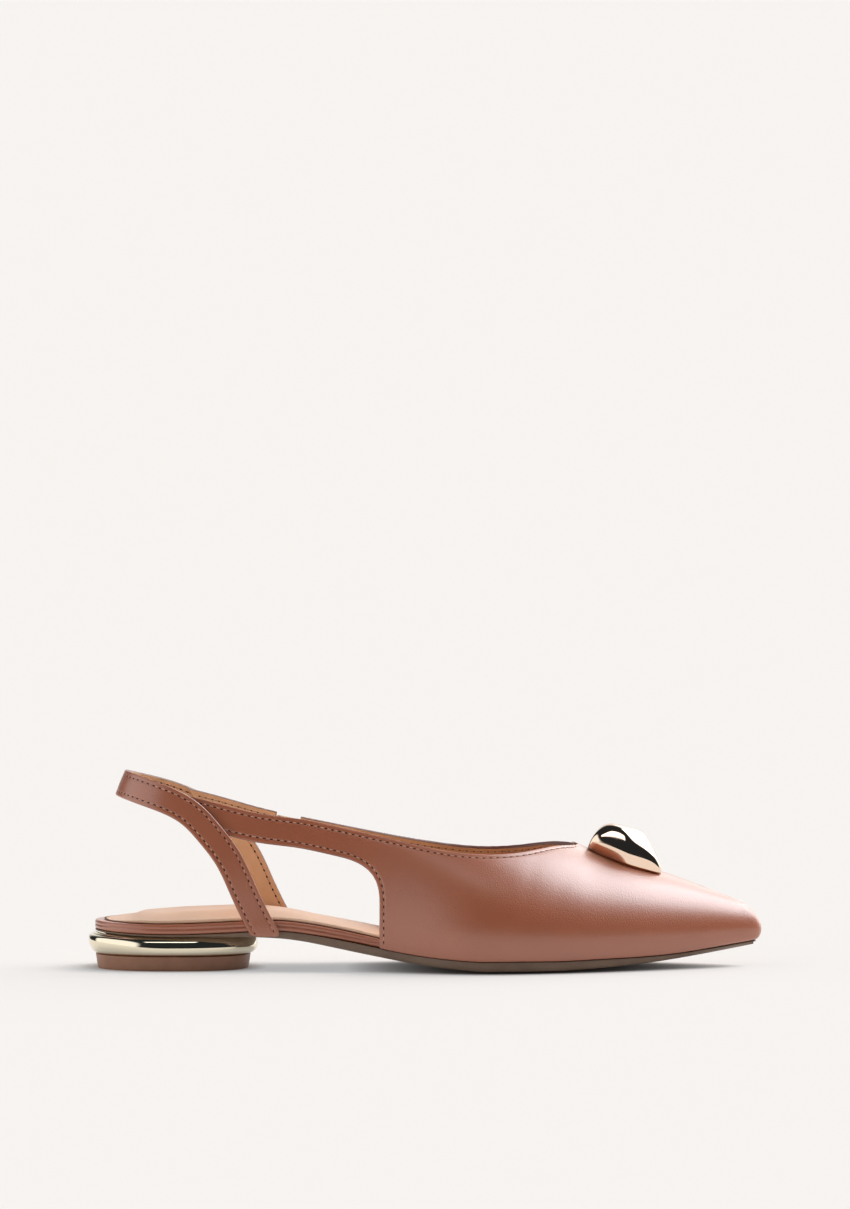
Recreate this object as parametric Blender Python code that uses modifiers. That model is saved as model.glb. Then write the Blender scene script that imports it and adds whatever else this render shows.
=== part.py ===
# A sling-back flat for the right foot: pointed vamp, open quarters, sling strap, metal heel.
# Metres, +X towards the toe, +Y towards the inside of the foot, +Z up, floor at Z = 0.
import math

import bmesh
import bpy
import numpy as np
from mathutils import Matrix, Vector

MM = 0.001

# Driving dimensions
SHOE_LENGTH = 262 * MM  # back of the metal heel to the tip of the toe
BALL_WIDTH = 78 * MM  # across the feather line at the ball
SEAT_LIFT = 13.5 * MM  # floor to the underside of the outsole at the heel
TOE_SPRING = 9.4 * MM  # floor to the underside of the outsole at the toe
THROAT_HEIGHT = 47.9 * MM  # floor to the throat point of the topline
SLING_HEIGHT = 72.6 * MM  # floor to the middle of the sling strap behind the heel
CONE_HEIGHT = 108 * MM  # floor to the top of the heel cone of the last

# Walls, widths and clearances
GAP = 0.3 * MM  # between pieces that meet
UPPER_WALL = 1.6 * MM  # leather and lining, folded at the edges
SLING_WALL = 2.0 * MM
SLING_WIDTH = 10.3 * MM
QUARTER_STRAP_WIDTH = 10.8 * MM
GORE_WALL = 1.1 * MM
GORE_LENGTH = 9.6 * MM
GORE_WIDTH = 8.4 * MM
SOLE_THICKNESS = 4.7 * MM  # outsole at the ball
SOLE_EDGE_ROUND = 1.3 * MM
SOLE_CAMBER = 0.8 * MM  # the forefoot rests on its middle
BOARD_THICKNESS = 3.9 * MM  # wrapped insole board
SOCK_THICKNESS = 1.0 * MM
SOCK_MARGIN = 1.3 * MM  # rim of the board left bare round the sock
SOCK_BACK_MARGIN = 3.6 * MM
HEEL_PAD_RISE = 3.7 * MM
TOP_PIECE_HEIGHT = 5.6 * MM
HEEL_LENGTH = 66.3 * MM
HEEL_WIDTH = 56 * MM
HEEL_ROUND = 3.6 * MM  # how far the metal heel draws in from its fullest line to its base
TOP_PIECE_TAPER = 1.0 * MM

# Feather line seen from above: share of SHOE_LENGTH from the back, share of BALL_WIDTH from the middle
FEATHER_LINE = (
    ("heel back", 0.0030, 0.040),
    ("heel back lateral", 0.0150, -0.135),
    ("heel lateral", 0.0540, -0.275),
    ("seat lateral", 0.1250, -0.333),
    ("breast lateral", 0.2350, -0.330),
    ("waist lateral", 0.3500, -0.318),
    ("joint lateral", 0.4550, -0.390),
    ("ball lateral", 0.5900, -0.500),
    ("little toe", 0.7000, -0.432),
    ("toe lateral", 0.8100, -0.276),
    ("tip lateral", 0.9100, -0.092),
    ("tip corner lateral", 0.9717, 0.033),
    ("toe tip", 0.9900, 0.090),
    ("tip corner medial", 0.9720, 0.158),
    ("tip medial", 0.9150, 0.248),
    ("toe medial", 0.8250, 0.372),
    ("big toe joint", 0.7250, 0.468),
    ("ball medial", 0.6250, 0.500),
    ("joint medial", 0.5000, 0.420),
    ("waist medial", 0.3750, 0.340),
    ("breast medial", 0.2400, 0.378),
    ("seat medial", 0.1250, 0.410),
    ("heel medial", 0.0540, 0.354),
    ("heel back medial", 0.0150, 0.212),
)

# Underside and thickness of the outsole: share of SHOE_LENGTH, shares of SEAT_LIFT and TOE_SPRING,
# share of SOLE_THICKNESS, share of BOARD_THICKNESS
SOLE_PROFILE = (
    ("heel back", 0.000, 0.990, 0.00, 0.31, 0.94),
    ("seat", 0.120, 1.000, 0.00, 0.31, 1.00),
    ("breast", 0.230, 1.000, 0.00, 0.44, 1.00),
    ("waist back", 0.290, 0.935, 0.00, 0.60, 1.00),
    ("waist", 0.350, 0.745, 0.00, 0.71, 0.98),
    ("waist front", 0.410, 0.480, 0.00, 0.86, 0.92),
    ("joint", 0.460, 0.280, 0.00, 0.90, 0.85),
    ("ball back", 0.520, 0.110, 0.00, 0.93, 0.75),
    ("ball", 0.600, -0.010, 0.00, 1.00, 0.70),
    ("ball front", 0.700, 0.000, 0.000, 0.97, 0.65),
    ("toe back", 0.790, 0.000, 0.160, 0.84, 0.60),
    ("toe", 0.860, 0.000, 0.400, 0.66, 0.55),
    ("toe front", 0.930, 0.000, 0.680, 0.53, 0.50),
    ("toe tip", 0.990, 0.000, 1.000, 0.48, 0.50),
)

# Middle line of the last: share of SHOE_LENGTH, share of BALL_WIDTH, height as a share of THROAT_HEIGHT
# ahead of the throat and of CONE_HEIGHT behind it
CROWN_AHEAD = (
    ("throat", 0.7317, 0.040, 1.000),
    ("ornament back", 0.7460, 0.045, 0.966),
    ("vamp", 0.8000, 0.060, 0.868),
    ("ornament front", 0.8520, 0.072, 0.777),
    ("toe", 0.9100, 0.084, 0.670),
    ("toe crown", 0.9540, 0.090, 0.576),
)
CROWN_BEHIND = (
    ("heel cone", 0.1900, 0.040, 1.000),
    ("cone front", 0.2900, 0.035, 0.880),
    ("waist", 0.4300, 0.025, 0.740),
    ("instep", 0.5350, 0.022, 0.620),
    ("instep front", 0.6500, 0.028, 0.515),
)
# Shape of a section: share of SHOE_LENGTH of its crown, outward lean at the feather line, share of
# the height that leans, share of the width that stays flat at the crown
SECTION_SHAPE = (
    ("heel", 0.190, -3.0 * MM, 0.30, 0.37),
    ("cone front", 0.290, 1.5 * MM, 0.42, 0.52),
    ("waist", 0.430, 7.0 * MM, 0.45, 0.66),
    ("instep", 0.590, 9.5 * MM, 0.45, 0.52),
    ("throat", 0.730, 9.5 * MM, 0.43, 0.44),
    ("vamp", 0.850, 8.5 * MM, 0.40, 0.34),
    ("toe", 0.954, 7.6 * MM, 0.35, 0.20),
)
TOE_FAN = 70 * MM  # along the feather line, where the sections turn round the toe
HEEL_FAN = 88 * MM  # and round the heel
TOE_CROWN = 0.954  # share of SHOE_LENGTH of the last crown point
HEEL_CROWN = 0.190

# Topline of the quarters: share of SHOE_LENGTH, lateral and medial heights as shares of THROAT_HEIGHT
TOPLINE = (
    ("strap end", 0.1300, 1.455, 1.480),
    ("sling crossing", 0.2050, 1.349, 1.360),
    ("strap back", 0.2560, 1.282, 1.269),
    ("strap", 0.3160, 1.238, 1.198),
    ("strap front", 0.3750, 1.173, 1.134),
    ("collar back", 0.4640, 1.067, 1.036),
    ("collar side", 0.5240, 0.999, 0.981),
    ("collar dip", 0.5980, 0.961, 0.948),
    ("collar rise", 0.6580, 0.982, 0.979),
    ("throat side", 0.7020, 1.010, 1.010),
    ("throat", 0.7317, 1.000, 1.000),
)
VAMP_CORNER = 0.4335  # share of SHOE_LENGTH of the front edge of the side opening
OPENING_RUN = 17 * MM  # rounded upper corner of the side opening
OPENING_DROP = 15 * MM
OPENING_FULLNESS = 2.8
STRAP_END_TOP = 0.150  # share of SHOE_LENGTH where the quarter strap ends behind the sling
STRAP_END_LOW = 0.168
FAN_TOPLINE = 0.490  # topline point that pairs with the lower corner of the vamp
FAN_CORNER = 0.450
FAN_STRAP = 0.375
GORE_FRONT = 0.3170  # share of SHOE_LENGTH where the medial strap gives way to the elastic

# Middle of the sling strap: share of SHOE_LENGTH, share of SLING_HEIGHT, how far forward the medial
# side lies, how far the strap stands off the last
SLING_PATH = (
    ("sole", 0.2660, 0.191, 6.0 * MM, -1.3 * MM),
    ("rim", 0.2515, 0.287, 6.0 * MM, -1.3 * MM),
    ("lower", 0.2305, 0.445, 6.0 * MM, -0.5 * MM),
    ("middle", 0.2065, 0.620, 5.6 * MM, 0.3 * MM),
    ("junction", 0.1805, 0.742, 4.2 * MM, 0.3 * MM),
    ("bend", 0.1535, 0.843, 2.6 * MM, 0.3 * MM),
    ("side", 0.1330, 0.893, 1.6 * MM, 0.3 * MM),
    ("heel side", 0.1015, 0.946, 0.6 * MM, 0.3 * MM),
    ("heel corner", 0.0760, 0.982, 0.0 * MM, 0.3 * MM),
)

# Facets of the ornament: turn from the toe direction, tilt above the vamp, distance from its middle
ORNAMENT_FACETS = (
    ("top", 180, 87, 12.9 * MM),
    ("front slope", -3, 46, 11.9 * MM),
    ("back upper", 184, 41, 15.3 * MM),
    ("back wall", 176, 2, 15.6 * MM),
    ("lateral back", -112, 17, 10.8 * MM),
    ("lateral front", -56, 26, 10.8 * MM),
    ("medial back", 116, 18, 10.8 * MM),
    ("medial front", 60, 28, 10.4 * MM),
    ("toe edge", 0, 8, 15.0 * MM),
)
ORNAMENT_CENTRE = 0.7985  # share of SHOE_LENGTH
ORNAMENT_EDGE = 10.0  # higher is crisper

# How finely the solids are drawn
STATIONS = 30  # from toe to heel round each side of the sole
VAMP_COLUMNS = 26
OPENING_COLUMNS = 18
STRAP_COLUMNS = 10
UPPER_ROWS = 9
SLING_COLUMNS = 56
STRAP_ROWS = 4


def column_of(table, index, scale=1.0):
    """One named column of a table, times a size."""
    return [row[index] * scale for row in table]


class Smooth:
    """A cubic curve through rows of numbers, with no jump in its bend. A closed one repeats its first row last."""

    def __init__(self, knots, values, closed=False):
        self.knots = np.array(knots, float)
        self.values = np.array(values, float).reshape(len(knots), -1)
        count = len(knots)
        steps = np.diff(self.knots)
        slopes = np.diff(self.values, axis=0) / steps[:, None]
        matrix = np.eye(count)
        right = np.zeros_like(self.values)
        for i in range(1, count - 1):
            matrix[i, i - 1 : i + 2] = steps[i - 1], 2 * (steps[i - 1] + steps[i]), steps[i]
            right[i] = 6 * (slopes[i] - slopes[i - 1])
        if closed:
            matrix[0, :2] = 2 * (steps[-1] + steps[0]), steps[0]
            matrix[0, count - 2] = steps[-1]
            right[0] = 6 * (slopes[0] - slopes[-1])
            matrix[count - 1, 0] = -1
        self.bends = np.linalg.solve(matrix, right)

    def __call__(self, at):
        at = np.atleast_1d(np.asarray(at, float))
        i = np.clip(np.searchsorted(self.knots, at, side="right") - 1, 0, len(self.knots) - 2)
        step = self.knots[i + 1] - self.knots[i]
        ahead = ((at - self.knots[i]) / step)[:, None]
        back = 1 - ahead
        step = step[:, None]
        found = back * self.values[i] + ahead * self.values[i + 1]
        found += ((back**3 - back) * self.bends[i] + (ahead**3 - ahead) * self.bends[i + 1]) * step**2 / 6
        return found[:, 0] if found.shape[1] == 1 else found


def profile(table, index, scale):
    """A smooth curve of one column of a table along the length of the shoe."""
    return Smooth(column_of(table, 1, SHOE_LENGTH), column_of(table, index, scale))


lift_curve = profile(SOLE_PROFILE, 2, SEAT_LIFT)
spring_curve = profile(SOLE_PROFILE, 3, TOE_SPRING)
thickness_curve = profile(SOLE_PROFILE, 4, SOLE_THICKNESS)
board_curve = profile(SOLE_PROFILE, 5, BOARD_THICKNESS)


def sole_bottom(x):
    """Height of the outsole's underside, flat on the floor under the ball."""
    return np.maximum(0.0, lift_curve(x) + spring_curve(x))


def sole_top(x):
    return sole_bottom(x) + thickness_curve(x)


def feather_sides(samples=1200):
    """The feather line as two dense runs from the toe tip to the heel back: lateral, then medial."""
    points = np.array([(row[1] * SHOE_LENGTH, row[2] * BALL_WIDTH) for row in FEATHER_LINE])
    points = np.vstack([points, points[:1]])
    chords = np.concatenate([[0], np.cumsum(np.linalg.norm(np.diff(points, axis=0), axis=1))])
    outline = Smooth(chords, points, closed=True)
    tip = chords[[row[0] for row in FEATHER_LINE].index("toe tip")]
    lateral = outline(np.linspace(tip, 0, samples))
    medial = outline(np.linspace(tip, chords[-1], samples))
    sides = []
    for run, turn in ((lateral, -1), (medial, 1)):
        along = np.concatenate([[0], np.cumsum(np.linalg.norm(np.diff(run, axis=0), axis=1))])
        heading = np.gradient(run, along, axis=0)
        heading /= np.linalg.norm(heading, axis=1)[:, None]
        inward = np.stack([-heading[:, 1], heading[:, 0]], axis=1) * turn
        sides.append((along, run, inward))
    return sides


def hermite(share, start, start_slope, end, end_slope):
    return (
        start * (2 * share**3 - 3 * share**2 + 1)
        + start_slope * (share**3 - 2 * share**2 + share)
        + end * (3 * share**2 - 2 * share**3)
        + end_slope * (share**3 - share**2)
    )


def crown_along(along, run):
    """Where each section's crown lies: straight above its foot at the waist, gathered in at toe and heel."""
    total = along[-1]
    foot_x = run[:, 0]
    crown_x = foot_x.copy()
    slope = np.gradient(foot_x, along)
    ahead = along < TOE_FAN
    join = np.interp(TOE_FAN, along, foot_x)
    join_slope = np.interp(TOE_FAN, along, slope) * TOE_FAN
    crown_x[ahead] = hermite(
        along[ahead] / TOE_FAN, TOE_CROWN * SHOE_LENGTH, -0.30 * TOE_FAN, join, join_slope
    )
    behind = along > total - HEEL_FAN
    join = np.interp(total - HEEL_FAN, along, foot_x)
    join_slope = -np.interp(total - HEEL_FAN, along, slope) * HEEL_FAN
    crown_x[behind] = hermite(
        (total - along[behind]) / HEEL_FAN, HEEL_CROWN * SHOE_LENGTH, 0.05 * HEEL_FAN, join, join_slope
    )
    return crown_x


def crown_curves():
    """Side offset and height of the last's middle line along the shoe."""
    rows = [(x, y, z * CONE_HEIGHT) for _, x, y, z in CROWN_BEHIND]
    rows += [(x, y, z * THROAT_HEIGHT) for _, x, y, z in CROWN_AHEAD]
    along = [x * SHOE_LENGTH for x, _, _ in rows]
    return Smooth(along, [y * BALL_WIDTH for _, y, _ in rows]), Smooth(along, [z for _, _, z in rows])


def last_columns():
    """Foot, crown and section shape at dense places t round the last: 0 toe, 1 heel, 2 toe again."""
    crown_y, crown_z = crown_curves()
    shape = Smooth(column_of(SECTION_SHAPE, 1, SHOE_LENGTH), [row[2:] for row in SECTION_SHAPE])
    halves = []
    for along, run, inward in feather_sides():
        crown_x = crown_along(along, run)
        foot_z = sole_top(run[:, 0]) + GAP
        halves.append(
            np.column_stack(
                [run, foot_z, crown_x, crown_y(crown_x), crown_z(crown_x), shape(crown_x), inward, along]
            )
        )
    lateral, medial = halves
    places = np.concatenate(
        [lateral[:, -1] / lateral[-1, -1], 2 - medial[::-1, -1][1:] / medial[-1, -1]]
    )
    return places, np.vstack([lateral[:, :-1], medial[::-1][1:, :-1]])


PLACES, COLUMNS = last_columns()
FOOT = slice(0, 3)
CROWN = slice(3, 6)
INWARD = slice(9, 11)


def columns_at(places):
    places = np.mod(np.atleast_1d(np.asarray(places, float)), 2)
    return np.column_stack([np.interp(places, PLACES, column) for column in COLUMNS.T])


def last(places, rises):
    """Points on the last at places round it and rises from the feather line, 0, to the crown, 1."""
    column = columns_at(places)
    u = np.atleast_1d(np.asarray(rises, float))[:, None]
    foot, crown = column[:, FOOT], column[:, CROWN]
    lean, rise, shoulder = (column[:, i : i + 1] for i in (6, 7, 8))
    across = crown - foot
    across[:, 2] = 0
    height = (crown - foot)[:, 2:]
    width = np.linalg.norm(across, axis=1)[:, None]
    outward = -across / width
    up = np.array([[0.0, 0.0, 1.0]])
    first = foot + outward * lean + up * height * rise
    second = foot + across * shoulder + up * height
    return (
        foot * (1 - u) ** 3
        + first * 3 * (1 - u) ** 2 * u
        + second * 3 * (1 - u) * u**2
        + crown * u**3
    )


def slopes(place, rise):
    """Point on the last and its two directions of travel."""
    step_t, step_u = 1e-4, 1e-3
    t = np.array([place, place + step_t, place - step_t, place, place])
    u = np.array([rise, rise, rise, rise + step_u, rise - step_u])
    points = last(t, u)
    return points[0], (points[1] - points[2]) / (2 * step_t), (points[3] - points[4]) / (2 * step_u)


def outward_normals(places, rises):
    """Unit normals of the last, facing out of it."""
    found = []
    for place, rise in zip(places, rises):
        _, along, up = slopes(place, rise)
        normal = np.cross(up, along)
        found.append(normal / np.linalg.norm(normal))
    return np.array(found)


def nudge(place, rise, target, axes=(0, 1, 2), rounds=8):
    """The place and rise on the last nearest to a target, reading only some of its axes."""
    axes = list(axes)
    for _ in range(rounds):
        point, along, up = slopes(place, rise)
        step, *_ = np.linalg.lstsq(
            np.column_stack([along, up])[axes], (np.asarray(target) - point)[axes], rcond=None
        )
        place += float(np.clip(step[0], -0.05, 0.05))
        rise += float(np.clip(step[1], -0.15, 0.15))
        rise = min(max(rise, -0.04), 1.0)
    return place, rise


SIDE_RANGE = {"lateral": (0.02, 0.98), "medial": (1.02, 1.98)}
SEARCH_STEPS = 120


def on_side(side, x, z):
    """The place and rise of the point of one side that has this length and height."""
    low, high = SIDE_RANGE[side]
    places, rises = np.meshgrid(np.linspace(low, high, SEARCH_STEPS), np.linspace(0, 1, SEARCH_STEPS))
    points = last(places.ravel(), rises.ravel())
    nearest = np.argmin((points[:, 0] - x) ** 2 + (points[:, 2] - z) ** 2)
    return nudge(places.ravel()[nearest], rises.ravel()[nearest], (x, 0.0, z), axes=(0, 2))


def place_at_crown(side, x):
    """The place on one side whose section has its crown at this length."""
    half = PLACES <= 1 if side == "lateral" else PLACES >= 1
    crown_x, places = COLUMNS[half, 3], PLACES[half]
    order = np.argsort(crown_x)
    return float(np.interp(x, crown_x[order], places[order]))


def place_at_foot(side, x):
    """The place on one side whose foot is at this length."""
    half = PLACES <= 1 if side == "lateral" else PLACES >= 1
    foot_x, places = COLUMNS[half, 0], PLACES[half]
    order = np.argsort(foot_x)
    return float(np.interp(x, foot_x[order], places[order]))


def finished(name, mesh_data, colour, metallic=0.0, roughness=0.5):
    """An object for one piece, smooth shaded, with its own material, moved so that the shoe is centred."""
    mesh_data.transform(Matrix.Translation((-SHOE_LENGTH / 2, 0, 0)))
    obj = bpy.data.objects.new(name, mesh_data)
    PIECES.objects.link(obj)
    material = bpy.data.materials.new(name)
    material.use_nodes = True
    shader = material.node_tree.nodes["Principled BSDF"]
    shader.inputs["Base Color"].default_value = (*colour, 1.0)
    shader.inputs["Metallic"].default_value = metallic
    shader.inputs["Roughness"].default_value = roughness
    mesh_data.materials.append(material)
    mesh_data.shade_smooth()
    mesh_data.set_sharp_from_angle(angle=math.radians(40))
    return obj


def mesh_of(name, points, faces):
    """A mesh whose coincident points are one, with its faces turned the same way."""
    mesh = bpy.data.meshes.new(name)
    mesh.from_pydata([tuple(p) for p in points], [], faces)
    work = bmesh.new()
    work.from_mesh(mesh)
    bmesh.ops.remove_doubles(work, verts=work.verts, dist=0.00002)
    bmesh.ops.recalc_face_normals(work, faces=work.faces)
    if work.calc_volume(signed=True) < 0:
        bmesh.ops.reverse_faces(work, faces=work.faces)
    work.to_mesh(mesh)
    work.free()
    return mesh


def sheet_faces(columns, rows, start=0):
    """Quads of a grid whose points run row by row inside each column."""
    faces = []
    for i in range(columns - 1):
        for j in range(rows - 1):
            a = start + i * rows + j
            faces.append((a, a + 1, a + rows + 1, a + rows))
    return faces


def thicken(obj, wall, inwards):
    """Gives a sheet its wall, on the inner or the outer side of the drawn face."""
    solidify = obj.modifiers.new("wall", "SOLIDIFY")
    solidify.thickness = wall
    solidify.offset = -1.0 if inwards else 1.0
    solidify.use_even_offset = True
    solidify.use_rim = True


def face_out(mesh, outside):
    """Turns the faces of a sheet so that the one nearest a point outside looks at it."""
    nearest = min(mesh.polygons, key=lambda face: (face.center - outside).length)
    if nearest.normal.dot(outside - nearest.center) < 0:
        mesh.flip_normals()


topline_heights = {
    "lateral": profile(TOPLINE, 2, THROAT_HEIGHT),
    "medial": profile(TOPLINE, 3, THROAT_HEIGHT),
}
THROAT_X = TOPLINE[-1][1] * SHOE_LENGTH


def topline(side, x):
    return float(topline_heights[side](x)[0])


def strap_slope(side, x):
    """Length along the strap's slope for each unit of height, so that its width is square to it."""
    step = 1 * MM
    rise = (topline(side, x + step) - topline(side, x - step)) / (2 * step)
    return math.sqrt(1 + rise * rise)


def strap_underside(side, x, width=QUARTER_STRAP_WIDTH):
    return topline(side, x) - width * strap_slope(side, x)


def upper_edges(side, strap_end_low, strap_end_top):
    """Pairs of lower and upper edge points, as place and rise, from the toe to the end of the strap."""
    pairs = []
    corner_x = VAMP_CORNER * SHOE_LENGTH
    foot_of_throat = place_at_crown(side, THROAT_X)
    toe_end = 0.0 if side == "lateral" else 2.0
    pairs.append(((toe_end, 0.0), (toe_end, 1.0)))
    for i in range(1, VAMP_COLUMNS + 1):
        shared = columns_at(place_at_crown("lateral", THROAT_X) * (i / VAMP_COLUMNS) ** 0.92)
        place = place_at_crown(side, float(shared[0, CROWN][0]))
        pairs.append(((place, 0.0), (place, 1.0)))
    corner_place = place_at_foot(side, corner_x)
    for i in range(1, OPENING_COLUMNS + 1):
        share = i / OPENING_COLUMNS
        place = foot_of_throat + (corner_place - foot_of_throat) * share
        x = THROAT_X + (FAN_TOPLINE * SHOE_LENGTH - THROAT_X) * share**1.15
        pairs.append(((place, 0.0), on_side(side, x, topline(side, x))))
    run_start = corner_x - OPENING_RUN
    drop_end = strap_underside(side, corner_x) - OPENING_DROP
    foot_z = float(columns_at(corner_place)[0, 2])
    for i in range(1, OPENING_COLUMNS // 3 + 1):
        share = i / (OPENING_COLUMNS // 3)
        lower = on_side(side, corner_x, foot_z + (drop_end - foot_z) * share)
        x = SHOE_LENGTH * (FAN_TOPLINE + (FAN_CORNER - FAN_TOPLINE) * share)
        pairs.append((lower, on_side(side, x, topline(side, x))))
    for i in range(1, OPENING_COLUMNS // 2 + 1):
        share = i / (OPENING_COLUMNS // 2)
        turn = math.pi / 2 * (1 - share)
        x = run_start + OPENING_RUN * math.sin(turn) ** (2 / OPENING_FULLNESS)
        drop = OPENING_DROP * (1 - math.cos(turn) ** (2 / OPENING_FULLNESS))
        lower = on_side(side, x, strap_underside(side, x) - drop)
        x = SHOE_LENGTH * (FAN_CORNER + (FAN_STRAP - FAN_CORNER) * share)
        pairs.append((lower, on_side(side, x, topline(side, x))))
    for i in range(1, STRAP_COLUMNS + 1):
        share = i / STRAP_COLUMNS
        low_x = run_start + (strap_end_low - run_start) * share
        top_x = FAN_STRAP * SHOE_LENGTH + (strap_end_top - FAN_STRAP * SHOE_LENGTH) * share
        pairs.append(
            (on_side(side, low_x, strap_underside(side, low_x)), on_side(side, top_x, topline(side, top_x)))
        )
    return pairs


def between(pairs, rows):
    """Places and rises of a grid between two edges of the last."""
    places, rises = [], []
    for (low_place, low_rise), (top_place, top_rise) in pairs:
        for j in range(rows + 1):
            share = j / rows
            places.append(low_place + (top_place - low_place) * share)
            rises.append(low_rise + (top_rise - low_rise) * share)
    return np.array(places), np.array(rises)


def build_upper():
    """Vamp and both quarters in one wall, lasted over the toe."""
    points, faces = [], []
    ends = {
        "lateral": (STRAP_END_LOW * SHOE_LENGTH, STRAP_END_TOP * SHOE_LENGTH),
        "medial": (GORE_FRONT * SHOE_LENGTH - 1.5 * MM, GORE_FRONT * SHOE_LENGTH),
    }
    for side in ("lateral", "medial"):
        pairs = upper_edges(side, *ends[side])
        grid = last(*between(pairs, UPPER_ROWS))
        faces += sheet_faces(len(pairs), UPPER_ROWS + 1, len(points))
        points.extend(grid)
    mesh = mesh_of("upper", points, faces)
    face_out(mesh, Vector((SHOE_LENGTH * 0.7, -1.0, 0.02)))
    obj = finished("upper", mesh, (0.40, 0.16, 0.09), roughness=0.38)
    thicken(obj, UPPER_WALL, inwards=True)
    return obj


def strap_piece(name, side, ends, narrow, wall, stand_off, colour):
    """A short length of the quarter strap between two lengths along the shoe."""
    pairs = []
    count = 8
    (low_start, top_start), (low_end, top_end) = ends
    for i in range(count + 1):
        share = i / count
        low_x = low_start + (low_end - low_start) * share
        top_x = top_start + (top_end - top_start) * share
        low = strap_underside(side, low_x) + narrow
        top = topline(side, top_x) - narrow
        pairs.append((on_side(side, low_x, low), on_side(side, top_x, top)))
    places, rises = between(pairs, STRAP_ROWS)
    points = last(places, rises) + outward_normals(places, rises) * stand_off
    mesh = mesh_of(name, points, sheet_faces(len(pairs), STRAP_ROWS + 1))
    face_out(mesh, Vector((low_start, 1.0 if side == "medial" else -1.0, 0.05)))
    obj = finished(name, mesh, colour, roughness=0.45)
    thicken(obj, wall, inwards=True)
    return obj


def build_medial_strap():
    """The elastic let into the medial strap, and the leather tab that joins it to the sling."""
    front = GORE_FRONT * SHOE_LENGTH
    back = front - GORE_LENGTH
    lean = 1.5 * MM
    narrow = (QUARTER_STRAP_WIDTH - GORE_WIDTH) / 2
    strap_piece(
        "elastic_gore",
        "medial",
        ((front - lean - GAP, front - GAP), (back - lean + GAP, back + GAP)),
        narrow,
        GORE_WALL,
        -(UPPER_WALL - GORE_WALL) / 2,
        (0.55, 0.34, 0.20),
    )
    strap_piece(
        "medial_tab",
        "medial",
        (
            (back - lean, back),
            ((STRAP_END_LOW + 0.014) * SHOE_LENGTH, STRAP_END_TOP * SHOE_LENGTH),
        ),
        0.0,
        UPPER_WALL,
        0.0,
        (0.40, 0.16, 0.09),
    )


def sling_centre():
    """The sling's middle line as place and rise on the last, with how far it stands off, from end to end."""
    rows = []
    for name, along, height, forward, stand_off in SLING_PATH:
        place, rise = on_side("lateral", along * SHOE_LENGTH, height * SLING_HEIGHT)
        rows.append((place, rise, stand_off))
    back = nudge(1.0, 0.6, (0.0, 0.0, SLING_HEIGHT), axes=(2,))
    rows.append((1.0, back[1], GAP))
    for name, along, height, forward, stand_off in reversed(SLING_PATH):
        place, rise = on_side("medial", along * SHOE_LENGTH + forward, height * SLING_HEIGHT)
        rows.append((place, rise, stand_off))
    points = last([r[0] for r in rows], [r[1] for r in rows])
    along = np.concatenate([[0], np.cumsum(np.linalg.norm(np.diff(points, axis=0), axis=1))])
    return Smooth(along, rows), along[-1]


SLING_END_BLEND = 16 * MM  # the last of the strap, where its cut turns level with the sole


def build_sling():
    """The strap that rises from the waist, crosses the quarters and passes behind the heel."""
    centre, total = sling_centre()
    points = []
    for distance in np.linspace(0, total, SLING_COLUMNS + 1):
        place, rise, stand_off = centre(distance)[0]
        before, after = centre([max(distance - MM, 0), min(distance + MM, total)])
        heading = (last(after[0], after[1]) - last(before[0], before[1]))[0]
        heading /= np.linalg.norm(heading)
        point, along, up = slopes(place, rise)
        normal = np.cross(up, along)
        normal /= np.linalg.norm(normal)
        across = np.cross(heading, normal)
        level = np.array([math.copysign(1.0, across[0]), 0.0, 0.0])
        level -= normal * level.dot(normal)
        from_end = min(distance, total - distance)
        turn = max(0.0, 1 - from_end / SLING_END_BLEND) ** 1.5
        cut = across * (1 - turn) + level / np.linalg.norm(level) * turn
        cut /= cut.dot(across)
        for j in range(STRAP_ROWS + 1):
            side_step = cut * SLING_WIDTH * (j / STRAP_ROWS - 0.5)
            spot = nudge(place, rise, point + side_step, rounds=4)
            surface, along, up = slopes(*spot)
            outward = np.cross(up, along)
            points.append(surface + outward / np.linalg.norm(outward) * stand_off)
    mesh = mesh_of("sling_strap", points, sheet_faces(SLING_COLUMNS + 1, STRAP_ROWS + 1))
    face_out(mesh, Vector((-1.0, 0.0, SLING_HEIGHT)))
    obj = finished("sling_strap", mesh, (0.40, 0.16, 0.09), roughness=0.38)
    thicken(obj, SLING_WALL, inwards=False)
    return obj


def plan_loop(inset, towards_spine):
    """A ring of plan points: the feather line moved in by inset(x), then part of the way to the spine."""
    shares = np.arange(STATIONS + 1) / STATIONS
    edges = []
    for places in (shares, 2 - shares):
        column = columns_at(places)
        foot = column[:, 0:2]
        edges.append(foot + column[:, INWARD] * inset(foot[:, 0])[:, None])
    spine = (edges[0] + edges[1]) / 2
    lateral, medial = [edge + (spine - edge) * towards_spine for edge in edges]
    return np.vstack([lateral, medial[-2:0:-1]])


def plate(name, loops, colour, roughness):
    """A flat piece of the bottom, skinned over rings that run from its upper to its lower spine."""
    points = []
    for inset, towards_spine, height in loops:
        ring = plan_loop(inset, towards_spine)
        points.extend(np.column_stack([ring, height(ring, towards_spine)]))
    count = 2 * STATIONS
    faces = []
    for k in range(len(loops) - 1):
        for i in range(count):
            j = (i + 1) % count
            faces.append((k * count + i, k * count + j, (k + 1) * count + j, (k + 1) * count + i))
    return finished(name, mesh_of(name, points, faces), colour, roughness=roughness)


def smooth_step(value, low, high):
    share = np.clip((value - low) / (high - low), 0, 1)
    return share * share * (3 - 2 * share)


def ramp(x, points):
    """A straight-sided curve through pairs of a share of SHOE_LENGTH and a value."""
    return np.interp(x, [a * SHOE_LENGTH for a, _ in points], [b for _, b in points])


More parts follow.
